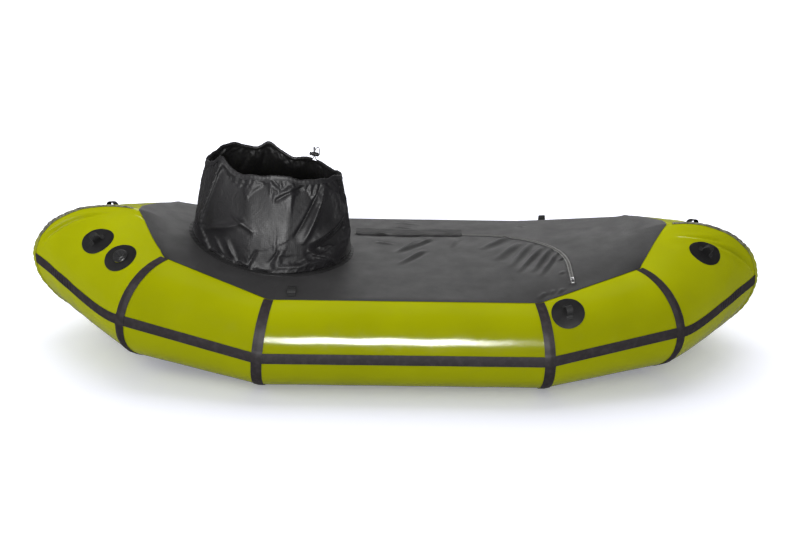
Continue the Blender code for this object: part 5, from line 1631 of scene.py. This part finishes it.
class PACKRAFT_OT_tunnel(bpy.types.Operator):
    """Sew up the cockpit tunnel: its loose cloth, its foot, the hem and the drawcord inside it."""

    bl_idname = "packraft.tunnel"
    bl_label = "Sew the tunnel"

    def execute(self, context):
        heights = np.linspace(0.0, 1.0, TUNNEL_ROWS)[:, None]
        cloth = tunnel_points(turns(TUNNEL_COLUMNS)[None], heights)
        pinned = np.zeros(cloth.shape[:2], bool)
        pinned[:1] = pinned[-2:] = True
        cloth = crumple(cloth, pinned, context.scene.packraft.cloth.slack)
        cloth = refined(cloth)
        creases = tunnel_creases(turns(cloth.shape[1])[None], np.linspace(0.0, 1.0, len(cloth))[:, None])
        cloth = cloth + grid_normals(cloth) * creases[..., None]
        outer = cloth + grid_normals(cloth) * TUNNEL_SKIN
        outer[0, :, 2] = cloth[0, :, 2]
        piece = skin("cockpit_tunnel", outer, cloth, wrap_columns=True, sharp=70.0)
        dress(piece, "hull", "tunnel", "tunnel")
        RIM["points"], RIM["below"] = cloth[-1], cloth[-3]
        self.make_binding()
        make_hem()
        return {"FINISHED"}

    def make_binding(self):
        """The tape ring that sews the tunnel's foot to the deck, puckered by a sine round the ring. Its
        cloth is painted darker than the deck as painted shade where the tunnel meets it.
        """
        clear = 0.35 * 0.011 + TUNNEL_SKIN + 4.0 * GAP
        turn = turns(360)
        reach = (clear + BINDING_WIDTH * np.linspace(0.0, 1.0, 5))[:, None]
        x = TUNNEL_X + (TUNNEL_BASE[0] + reach) * np.cos(turn)
        y = (TUNNEL_BASE[1] + reach) * np.sin(turn)
        pucker = 0.0004 * (1.0 + np.sin(60.0 * turn + 2.0 * np.sin(5.0 * turn)))
        inner = deck_sheet().points(x, y, 2.0 * GAP)
        outer = inner + UP * (0.0010 + pucker)[:, None]
        piece = skin("foot_binding", outer, inner, wrap_columns=True)
        dress(piece, "hull", "binding", "tunnel_binding")


def rim_at(turn):
    """The middle of the cloth on the tunnel's rim, and the way down the cloth per metre of fall."""
    fall = (RIM["below"] - RIM["points"]) / (RIM["points"] - RIM["below"])[:, 2:]
    own = np.append(turns(len(fall)), 2.0 * math.pi)
    place, down = (read_off(np.mod(turn, 2.0 * math.pi), own, np.concatenate([ring, ring[:1]]))
                   for ring in (RIM["points"], fall))
    out = unit(np.stack([np.cos(turn) / TUNNEL_RIM[0], np.sin(turn) / TUNNEL_RIM[1], 0.0 * turn], axis=-1))
    return place + out * TUNNEL_SKIN / 2.0, down, out


def turns_past_lock(margin, count):
    """Turns once round the rim, from a distance past the lock on one side to the same on the other."""
    places = rim_at(np.array([LOCK_TURN - 0.02, LOCK_TURN + 0.02]))[0]
    step = 0.04 * margin / np.linalg.norm(places[1] - places[0])
    return np.linspace(LOCK_TURN + step, LOCK_TURN + 2.0 * math.pi - step, count)


def make_hem():
    """The channel folded over the rim, an upside-down U gathered by the cord: its width and height swell
    by a sine of the turn. The drawcord runs inside and shows at its mouth, and a row of thread follows its
    lower edge on the outer side."""
    turn = turns_past_lock(HEM_MOUTH, 420)
    place, down, out = rim_at(turn)
    gathers = 0.5 + 0.5 * np.sin(95.0 * turn + 3.0 * np.sin(4.0 * turn))
    from_mouth = np.minimum(np.arange(len(turn)), np.arange(len(turn))[::-1])
    swell = (0.0006 * gathers * np.minimum(1.0, from_mouth / 6.0))[:, None]
    layers = []
    for grow in (TUNNEL_SKIN, 0.0):
        outward = out * (HEM_HALF_WIDTH + grow + 0.4 * swell)
        rows = [place + down * share * HEM_DROP + outward for share in (1.0, 0.6, 0.3)]
        for angle in np.linspace(0.0, math.pi, 9):
            width = (HEM_HALF_WIDTH + grow + swell) * math.cos(angle)
            rise = 0.0004 + (HEM_RISE + grow - 0.0004 + swell) * math.sin(angle)
            rows.append(place + out * width + UP * rise)
        rows += [place + down * share * HEM_DROP - outward for share in (0.3, 0.6, 1.0)]
        layers.append(np.array(rows))
    dress(skin("cord_channel", layers[0], layers[1]), "hull", "tunnel", "tunnel_hem")
    inside = turns_past_lock(HEM_MOUTH + 0.0040, 300)
    path = rim_at(inside)[0] + UP * CORD_RISE
    fit_cord("cord_in_channel", path, CORD_RADIUS, "hull", "cord", "tunnel_drawcord")
    place, down, out = rim_at(turn[::2])
    row = place + down * 0.88 * HEM_DROP + out * (HEM_HALF_WIDTH + TUNNEL_SKIN + 0.0002)
    sew("thread_cord_channel", row, pitch=0.0034)


# Drawcord loop and cord lock

def lock_frame():
    """The lock's frame: Z along the rim towards the button, which is pressed the other way, X outward."""
    axis = -unit(JOINTS["cord_lock_press"]["axis"])
    out = np.cross(UP, axis)
    if np.dot(out, (math.cos(LOCK_TURN), math.sin(LOCK_TURN), 0.0)) < 0.0:
        out = -out
    low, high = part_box("cord_lock_body")
    middle = (np.array(low) + np.array(high)) / 2.0
    return frame_at(middle + axis * 0.0020, axis, out)


class PACKRAFT_OT_drawcord(bpy.types.Operator):
    """Thread the drawcord's free loop through its spring lock."""

    bl_idname = "packraft.drawcord"
    bl_label = "Thread the cord lock"

    def execute(self, context):
        place = lock_frame()
        out = place[:3, 0]
        base = place[:3, 3] - UP * LOCK_RISE
        self.make_lock(place)
        half = np.array(LOOP_ROUTE)
        other = half[-2::-1] * np.array([-1.0, 1.0, 1.0])
        axes = np.stack([np.cross(UP, out), out, UP])
        past_lock = (-HEM_MOUTH - 0.0018, -HEM_MOUTH + 0.0006, HEM_MOUTH - 0.0006, HEM_MOUTH + 0.0018)
        spots = rim_at(LOCK_TURN + np.array(past_lock) / RIM_REACH_AT_LOCK)[0] + UP * CORD_RISE
        route = [*spots[:2], *(np.concatenate([half, other]) @ axes + base), *spots[2:]]
        path = smooth_route(route, 120)
        piece = fit_cord("drawcord_free_loop", path, CORD_RADIUS, "hull", "cord", "drawcord_loop")
        return {"FINISHED"}

    def make_lock(self, place):
        """The barrel with its ribs, cut by the cord's slot, the button, and the spring's coil."""
        barrel = [(0.0047, 0.0090), (0.0056, 0.0090), (0.0066, 0.0080), (0.0066, 0.0050), (0.0062, 0.0046),
                  (0.0062, 0.0040), (0.0066, 0.0036), (0.0066, -0.0080), (0.0062, -0.0084),
                  (0.0062, -0.0090), (0.0066, -0.0094), (0.0066, -0.0118), (0.0054, -0.0130),
                  (0.0, -0.0130), (0.0, -0.0112), (0.0047, -0.0112)]
        piece = turned("moulded_lock_barrel", barrel, place, segments=64, radius=0.0003)
        dress(piece, "cord_lock", "plastic", "cord_lock_body")
        cut_slot(piece, place, (-0.0018, -0.0100, -0.0038), (0.0018, 0.0100, 0.0038))
        button = [(0.0, -0.0055), (0.0044, -0.0055), (0.0044, 0.0130), (0.0057, 0.0130), (0.0057, 0.0148),
                  (0.0046, 0.0158), (0.0, 0.0158)]
        piece = turned("moulded_lock_button", button, place, segments=64, radius=0.0004)
        dress(piece, "cord_lock_plunger", "plastic", "cord_lock_plunger")
        cut_slot(piece, place, (-0.0018, -0.0100, -0.0040), (0.0018, 0.0100, 0.0076))
        turn = np.linspace(0.0, 8.0 * math.pi, 97)
        rise = np.linspace(-0.0107, -0.0060, 97)
        coil = np.stack([0.0031 * np.cos(turn), 0.0031 * np.sin(turn), rise], axis=-1)
        fit_cord("lock_spring_wire", placed(coil, place), 0.00035, "cord_lock", "metal", "cord_lock_spring",
                 count=8)


def cut_slot(piece, place, low, high):
    """Cut the slot that the cord runs through."""
    cutter = rounded_block(piece.name + "_slot", low, high, place, 0.0003)
    change = piece.modifiers.new("slot", "BOOLEAN")
    change.operation = "DIFFERENCE"
    change.solver = "EXACT"
    change.object = cutter
    with bpy.context.temp_override(object=piece, active_object=piece):
        bpy.ops.object.modifier_apply(modifier="slot")
    bpy.data.objects.remove(cutter)


# Zip and its flap

def zip_line(count=420):
    """Straight along the port side, a quarter ellipse round the bow end, straight across to starboard."""
    run = np.linspace(ZIP_START_X, ZIP_BEND_X, 60)[:-1]
    bend = np.linspace(math.pi / 2.0, 0.0, 80)
    across = np.linspace(ZIP_BEND_Y, ZIP_END_Y, 40)[1:]
    bend_x = ZIP_BEND_X + (ZIP_BOW_X - ZIP_BEND_X) * np.cos(bend)
    bend_y = ZIP_BEND_Y + (ZIP_PORT_Y - ZIP_BEND_Y) * np.sin(bend)
    x = np.concatenate([run, bend_x, np.full(39, ZIP_BOW_X)])
    y = np.concatenate([np.full(59, ZIP_PORT_Y), bend_y, across])
    line = np.stack([x, y], axis=-1)
    run = distances(line)
    return read_off(np.linspace(0.0, run[-1], count), run, line)


def beside(line, offset):
    """The line moved sideways in plan."""
    along = directions(line)
    return line + np.stack([along[:, 1], -along[:, 0]], axis=-1) * offset


class PACKRAFT_OT_zip(bpy.types.Operator):
    """Sew in the entry zip: its coated tape, coil, slider, pull and end stop."""

    bl_idname = "packraft.zip"
    bl_label = "Sew in the zip"

    def execute(self, context):
        deck = deck_sheet()
        line = zip_line()
        offsets = np.linspace(-0.5, 0.5, 9) * ZIP_TAPE_WIDTH
        plan = np.stack([beside(line, offset) for offset in offsets], axis=1)
        ripple = 0.0003 * np.sin(np.arange(len(line)) / 3.0)[:, None] * (np.abs(offsets) > 0.008)
        low = deck.points(plan[..., 0], plan[..., 1], ZIP_TAPE_LIFT + ripple)
        piece = skin("zip_ribbon", low + UP * 0.0006, low)
        dress(piece, "hull", "zip", "zip_tape")
        self.make_coil(deck)
        self.make_slider()
        self.make_stitching(deck, line)
        return {"FINISHED"}

    def make_coil(self, deck):
        """The closed coil as a ribbed cord: two rows of teeth whose heights are sines of the distance
        along the zip, half a pitch apart, over a rounded back."""
        line = zip_line(2600)[:-12]
        run = distances(line)[:, None]
        across = np.linspace(-1.0, 1.0, 9)
        teeth = 0.5 + 0.5 * np.sin(2.0 * math.pi * run / ZIP_PITCH + math.pi * (across > 0.0))
        back = np.sqrt(1.0 - 0.92 * across ** 2)
        height = ZIP_COIL_HEIGHT * back * (0.72 + 0.28 * teeth)
        plan = np.stack([beside(line, offset * ZIP_COIL_WIDTH / 2.0) for offset in across], axis=1)
        ground = deck.height(line[:, 0], line[:, 1])[:, None] + ZIP_COIL_LIFT
        top = np.concatenate([plan, (ground + height)[..., None]], axis=-1)
        dress(skin("zip_teeth", top, top - UP * height[..., None]), "hull", "coil", "zip_coil")

    def make_stitching(self, deck, line):
        """Two rows of thread that hold the tape."""
        for label, offset in (("inner", -0.0085), ("outer", 0.0085)):
            plan = beside(line, offset)
            sew("thread_zip_" + label, deck.points(plan[:, 0], plan[:, 1], 0.0015))

    def make_slider(self):
        """The slider's plate, flanges, lugs and pin, its pull, and the stop, from the frame's joints."""
        hinge = JOINTS["zip_pull_hinge"]
        along = unit(JOINTS["zip_slide"]["axis"])
        side = -unit(hinge["axis"])
        normal = unit(np.cross(side, along))
        place = np.eye(4)
        place[:3, :3] = np.stack([side, along, normal], axis=1)
        top = ZIP_COIL_LIFT + ZIP_COIL_HEIGHT + 0.0009
        roof = top + 0.0016
        pin = roof + 0.0020
        place[:3, 3] = np.array(hinge["pos_m"]) - normal * pin
        fit_block("slider_plate", (-0.0055, -0.0079, top), (0.0055, 0.0079, roof), place, 0.0006,
                  "zip_slider", "metal", "zip_slider")
        for label, sign in (("left", -1.0), ("right", 1.0)):
            low, high = sorted((sign * 0.0040, sign * 0.0055))
            fit_block("slider_flange_" + label, (low, -0.0072, ZIP_COIL_LIFT + 0.0004),
                      (high, 0.0072, top + 0.0004), place, 0.0003, "zip_slider", "metal")
            low, high = sorted((sign * 0.0038, sign * 0.0050))
            fit_block("slider_lug_" + label, (low, -0.0017, roof - 0.0002), (high, 0.0017, roof + 0.0032),
                      place, 0.0004, "zip_slider", "metal")
        across = np.stack([np.linspace(-0.0042, 0.0042, 5), np.zeros(5), np.full(5, pin)], axis=-1)
        fit_cord("slider_pin", placed(across, place), 0.0006, "zip_slider", "metal", count=16)
        self.make_pull(place, pin)
        low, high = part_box("zip_stop")
        place = place.copy()
        place[:3, 3] = (np.array(low) + np.array(high)) / 2.0
        half = np.array((0.0045, 0.0025, 0.0011))
        fit_block("crimped_stop", -half, half, place, 0.0006, "hull", "metal", "zip_stop")

    def make_pull(self, place, pin):
        """The pull: a cord bent round the pin, with a moulded grip at its free ends."""
        t = np.linspace(0.0, 1.0, 60)
        y = 0.0012 - 0.0160 * np.sin(math.pi * t) ** 0.8
        x = 0.0019 * np.cos(math.pi * t)
        path = placed(np.stack([x, y, np.full(60, pin)], axis=-1), place)
        fit_cord("pull_cord", path, 0.0008, "zip_pull", "cord", "zip_pull")
        fit_block("pull_grip", (-0.0030, -0.0255, pin - 0.0013), (0.0030, -0.0135, pin + 0.0013), place,
                  0.0010, "zip_pull", "plastic")


class PACKRAFT_OT_flap(bpy.types.Operator):
    """Lay the storm flap over the zip's port run."""

    bl_idname = "packraft.flap"
    bl_label = "Lay the flap"

    def execute(self, context):
        deck = deck_sheet()
        x = np.linspace(FLAP_START_X, FLAP_END_X, 120)
        t = np.linspace(0.0, 1.0, 15)
        profile = smooth_route(FLAP_PROFILE, 15)
        along = (x - FLAP_START_X)[:, None]
        loose = np.clip(t - 0.35, 0.0, 1.0) / 0.65
        wave = 0.0011 * loose * np.sin(along / 0.012 + 2.0 * np.sin(along / 0.05))
        aside = profile[:, 0] - 0.0010 * loose * np.sin(along / 0.021)
        y = ZIP_PORT_Y + aside
        lift = np.maximum(profile[:, 1] + wave, 0.0008)
        low = deck.points(x[:, None], y, lift)
        piece = skin("storm_flap", low + UP * 0.0008, low)
        dress(piece, "zip_flap", "flap", "zip_flap")
        sew("thread_flap", low[:, 1] + UP * 0.0010, "zip_flap")
        return {"FINISHED"}


class PACKRAFT_OT_tabs(bpy.types.Operator):
    """Sew a looped webbing tab on the deck at each side of the cockpit."""

    bl_idname = "packraft.tabs"
    bl_label = "Sew the deck tabs"

    def execute(self, context):
        deck = deck_sheet()
        middle = (TAB_INNER_Y + TAB_OUTER_Y) / 2.0
        turn = np.linspace(0.0, math.pi, 33)
        inner = np.linspace(TAB_INNER_Y, middle + 0.016, 8)
        outer = np.linspace(middle - 0.016, TAB_OUTER_Y, 8)
        y = np.concatenate([inner, middle + 0.014 * np.cos(turn), outer])
        rise = np.concatenate([np.zeros(8), 0.0008 + TAB_RISE * np.sin(turn), np.zeros(8)])
        path = deck.points(np.full(y.shape, TAB_X), y, 3.0 * GAP + WEBBING / 2.0)
        path[:, 2] += rise
        for side, port in SIDES:
            rings = strap_rings(sided(path, port), (1.0, 0.0, 0.0), TAB_WIDTH, WEBBING)
            dress(swept("strap_deck_tab_" + side, rings), "hull", "webbing", "deck_tab_" + side)
            lines = []
            for number in (1, 3, 5, -6, -4, -2):
                spot = sided(path[number], port) + UP * WEBBING / 2.0
                lines.append((spot - np.array([0.010, 0.0, 0.0]), spot + np.array([0.010, 0.0, 0.0])))
            dress(stitch_rows("thread_deck_tab_" + side, lines, UP), "hull", "thread")
        return {"FINISHED"}


# Seat

def pad_outline(count, width, top, bottom, channel):
    """A crowned outline: a flat-ended oval with two sewn channels that draw its upper side in."""
    c, s = np.cos(turns(count)), np.sin(turns(count))
    y = width * np.sign(c) * np.abs(c) ** 0.75
    seams = np.exp(-((np.abs(y / width) - 0.36) / 0.07) ** 2)
    z = np.where(s > 0.0, top * np.abs(s) ** 0.8 * (1.0 - channel * seams), -bottom * np.abs(s) ** 0.6)
    return np.stack([y, z], axis=-1)


def pad_swell(t):
    """Fullness of an inflated pad from end to end: nearly flat, and rounding down at both ends."""
    return np.sqrt(np.clip(1.0 - np.abs(2.0 * t - 1.0) ** 4, 0.06, 1.0))


def crowded(count):
    return 0.5 - 0.5 * np.cos(math.pi * np.linspace(0.0, 1.0, count))


def puckers(points, depth, pitch):
    """Small radial puckers along a pad's edge seam: a sine of the distance round it, strongest at the
    middle of its height."""
    middle = points.mean(axis=(0, 1))
    away = unit(points - middle)
    turn = np.arctan2(points[..., 1] - middle[1], points[..., 0] - middle[0])
    level = np.exp(-((points[..., 2] - middle[2]) / 0.02) ** 2)
    return points - away * (depth * level * np.abs(np.sin(turn / pitch)))[..., None]


class PACKRAFT_OT_seat(bpy.types.Operator):
    """Blow up the seat cushion and the backrest."""

    bl_idname = "packraft.seat"
    bl_label = "Inflate the seat"

    def execute(self, context):
        self.make_cushion()
        self.make_backrest()
        self.make_valve_stem()
        return {"FINISHED"}

    def make_cushion(self):
        count = 96
        rings = []
        for t in crowded(49):
            x = SEAT_BACK_X + (SEAT_FRONT_X - SEAT_BACK_X) * t
            full = pad_swell(t)
            width = SEAT_BACK_HALF_WIDTH + (SEAT_HALF_WIDTH - SEAT_BACK_HALF_WIDTH) * min(1.6 * t, 1.0)
            width *= 0.80 + 0.20 * full
            outline = pad_outline(count, width, SEAT_CROWN * full, SEAT_BELLY * full, 0.30)
            rings.append(np.column_stack([np.full(count, x), outline[:, 0], outline[:, 1] + SEAT_MIDDLE_Z]))
        rings = puckers(np.array(rings), 0.0016, 0.05)
        low = floor_sheet().height(rings[..., 0], rings[..., 1]) + 4.0 * GAP
        rings[..., 2] = np.maximum(rings[..., 2], low)
        place = np.eye(4)
        place[:3, 3] = (*SEAT_VALVE, 0.055)
        piece = swept("seat_pad", rings, sharp=60.0)
        dress(piece, "hull", "seat", "seat_cushion")
        cut_slot(piece, place, (-0.0066, -0.0066, -0.02), (0.0066, 0.0066, 0.05))

    def make_backrest(self):
        count = 88
        front, low = BACKREST_AXIS
        rings = []
        for t in crowded(45):
            half = BACKREST_THICK / 2.0 * pad_swell(t)
            width = BACKREST_HALF_WIDTH * (0.82 + 0.18 * pad_swell(t))
            outline = pad_outline(count, width, half, half, 0.25)
            rings.append(np.column_stack([front - BACKREST_THICK / 2.0 + outline[:, 1], outline[:, 0],
                                          np.full(count, low + 0.002 + BACKREST_HEIGHT * t)]))
        piece = swept("backrest_pad", np.array(rings), sharp=60.0)
        dress(piece, "backrest", "seat", "backrest")

    def make_valve_stem(self):
        stem = [(0.0, 0.0400), (0.0062, 0.0400), (0.0062, 0.0790), (0.0100, 0.0790), (0.0100, 0.0830),
                (0.0060, 0.0830), (0.0060, 0.0880), (0.0, 0.0880)]
        place = np.eye(4)
        place[:3, 3] = (*SEAT_VALVE, 0.0)
        piece = turned("moulded_seat_valve", stem, place, segments=64, grip=0.0006, grips=20,
                       grip_from=0.0085)
        dress(piece, "seat_valve_stem", "plastic", "seat_valve_stem")


# Stage

class PACKRAFT_OT_stage(bpy.types.Operator):
    """Set up the floor, the lamps, the world and the camera."""

    bl_idname = "packraft.stage"
    bl_label = "Set the stage"

    def execute(self, context):
        settings = context.scene.packraft.stage
        self.make_ground()
        self.make_world(context)
        level = settings.light
        overhead = self.lamp("overhead_softbox", (0.0, 0.9, 3.3), (0.0, 0.1, 0.0), (4.2, 2.2), 64.0 * level)
        self.lamp("back_softbox", (0.2, 3.8, 1.9), (0.0, 0.2, 0.3), (4.6, 1.0), 34.0 * level)
        self.lamp("left_softbox", (-3.6, -1.2, 2.0), (-0.3, 0.0, 0.2), (1.6, 2.2), 34.0 * level)
        gleam = self.lamp("front_softbox", (-0.04, -3.9, 1.40), (-0.04, -0.43, 0.19), (1.04, 0.78),
                          445.0 * level)
        gleam.visible_diffuse = False
        overhead.visible_glossy = False
        self.make_camera(context, settings)
        context.scene.view_settings.view_transform = "Standard"
        return {"FINISHED"}

    def make_ground(self):
        """A wide white disc. To the camera it glows into plain white away from the boat, and in what
        reflects it it is grey."""
        mesh = bpy.data.meshes.new("studio_floor")
        shape = bmesh.new()
        bmesh.ops.create_circle(shape, cap_ends=True, segments=128, radius=30.0)
        shape.to_mesh(mesh)
        shape.free()
        ground = bpy.data.objects.new("studio_floor", mesh)
        ground.location.z = -0.0004
        bpy.context.scene.collection.objects.link(ground)
        paint = Finish("studio_floor_paint", 0.9, (0.84, 0.85, 0.96), specular_ior_level=0.1)
        away = paint.node("ShaderNodeVectorMath", {0: paint.places.outputs["Object"]}, 1, operation="LENGTH")
        glow = paint.node("ShaderNodeMapRange", {"Value": away, "From Min": 0.72, "From Max": 2.6,
                                                 "To Min": 0.25}, interpolation_type="SMOOTHSTEP")
        rays = paint.tree.nodes.new("ShaderNodeLightPath").outputs
        paint.set("Emission Color", (0.95, 0.96, 1.0, 1.0))
        paint.set("Emission Strength", paint.math("MULTIPLY", rays["Is Camera Ray"], glow))
        grey = paint.node("ShaderNodeEmission", {"Strength": FLOOR_REFLECTED})
        either = paint.node("ShaderNodeMixShader", {"Fac": rays["Is Glossy Ray"], 2: grey,
                                                    1: paint.shader.outputs["BSDF"]})
        paint.tree.links.new(either, paint.tree.nodes["Material Output"].inputs["Surface"])
        mesh.materials.append(paint.material)

    def make_world(self, context):
        """White to the camera, grey in reflections, and an even white light to everything else."""
        world = bpy.data.worlds.new("studio")
        world.use_nodes = True
        tree = world.node_tree
        background = tree.nodes["Background"]
        rays = tree.nodes.new("ShaderNodeLightPath")
        strength = DOME
        for kind, level in (("Is Glossy Ray", REFLECTED), ("Is Camera Ray", 1.0)):
            change = tree.nodes.new("ShaderNodeMapRange")
            if isinstance(strength, bpy.types.NodeSocket):
                tree.links.new(strength, change.inputs["To Min"])
            else:
                change.inputs["To Min"].default_value = strength
            change.inputs["To Max"].default_value = level
            tree.links.new(rays.outputs[kind], change.inputs["Value"])
            strength = change.outputs["Result"]
        tree.links.new(strength, background.inputs["Strength"])
        background.inputs["Color"].default_value = (1.0, 1.0, 1.0, 1.0)
        context.scene.world = world

    def lamp(self, name, place, target, size, power):
        data = bpy.data.lights.new(name, "AREA")
        data.shape = "RECTANGLE"
        data.size, data.size_y = size
        data.energy = power
        made = bpy.data.objects.new(name, data)
        made.location = place
        made.rotation_euler = (Vector(target) - Vector(place)).to_track_quat("-Z", "Y").to_euler()
        made.visible_camera = False
        bpy.context.scene.collection.objects.link(made)
        return made

    def make_camera(self, context, settings):
        """The camera stands back from its target along the line of sight, and is rolled a little."""
        azimuth, roll = math.radians(-0.96), math.radians(1.18)
        target = Vector((0.0074, 0.0, 0.243))
        back = Vector((math.sin(azimuth) * math.cos(settings.elevation),
                       -math.cos(azimuth) * math.cos(settings.elevation), math.sin(settings.elevation)))
        right = (-back).cross(Vector((0.0, 0.0, 1.0))).normalized()
        up = right.cross(-back)
        tilted_right = right * math.cos(roll) + up * math.sin(roll)
        tilted_up = up * math.cos(roll) - right * math.sin(roll)
        data = bpy.data.cameras.new("photo_camera")
        data.sensor_width = 36.0
        data.lens = settings.lens
        made = bpy.data.objects.new("photo_camera", data)
        made.matrix_world = Matrix((
            (tilted_right.x, tilted_up.x, back.x, target.x + back.x * settings.distance),
            (tilted_right.y, tilted_up.y, back.y, target.y + back.y * settings.distance),
            (tilted_right.z, tilted_up.z, back.z, target.z + back.z * settings.distance),
            (0.0, 0.0, 0.0, 1.0)))
        context.scene.collection.objects.link(made)
        context.scene.camera = made


class PACKRAFT_PT_panel(bpy.types.Panel):
    """The boat's settings and the steps that build it."""

    bl_label = "Packraft"
    bl_idname = "PACKRAFT_PT_panel"
    bl_space_type = "VIEW_3D"
    bl_region_type = "UI"
    bl_category = "Packraft"

    def draw(self, context):
        settings = context.scene.packraft
        for title, group in (("Hull", settings.hull), ("Cloth", settings.cloth), ("Stage", settings.stage)):
            box = self.layout.box()
            box.label(text=title)
            for name in group.bl_rna.properties.keys():
                if name not in ("rna_type", "name"):
                    box.prop(group, name)
        for step in STEPS:
            self.layout.operator(step.bl_idname)


STEPS = (PACKRAFT_OT_tubes, PACKRAFT_OT_tapes, PACKRAFT_OT_deck, PACKRAFT_OT_floor, PACKRAFT_OT_patches,
         PACKRAFT_OT_valve, PACKRAFT_OT_tunnel, PACKRAFT_OT_drawcord, PACKRAFT_OT_zip, PACKRAFT_OT_flap,
         PACKRAFT_OT_tabs, PACKRAFT_OT_seat, PACKRAFT_OT_stage)
CLASSES = (HullSettings, ClothSettings, StageSettings, PackraftSettings, *STEPS, PACKRAFT_PT_panel)


def register():
    for each in CLASSES:
        bpy.utils.register_class(each)
    bpy.types.Scene.packraft = bpy.props.PointerProperty(type=PackraftSettings)


def unregister():
    del bpy.types.Scene.packraft
    for each in reversed(CLASSES):
        bpy.utils.unregister_class(each)


def main():
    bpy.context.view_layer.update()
    for item in list(bpy.context.scene.objects):
        if item.type in ("CAMERA", "LIGHT") or item.name == "Cube":
            bpy.data.objects.remove(item)
    register()
    bpy.ops.packraft.tubes()
    bpy.ops.packraft.tapes()
    bpy.ops.packraft.deck()
    bpy.ops.packraft.floor()
    bpy.ops.packraft.patches()
    bpy.ops.packraft.valve()
    bpy.ops.packraft.tunnel()
    bpy.ops.packraft.drawcord()
    bpy.ops.packraft.zip()
    bpy.ops.packraft.flap()
    bpy.ops.packraft.tabs()
    bpy.ops.packraft.seat()
    bpy.ops.packraft.stage()


if __name__ == "__main__":
    main()
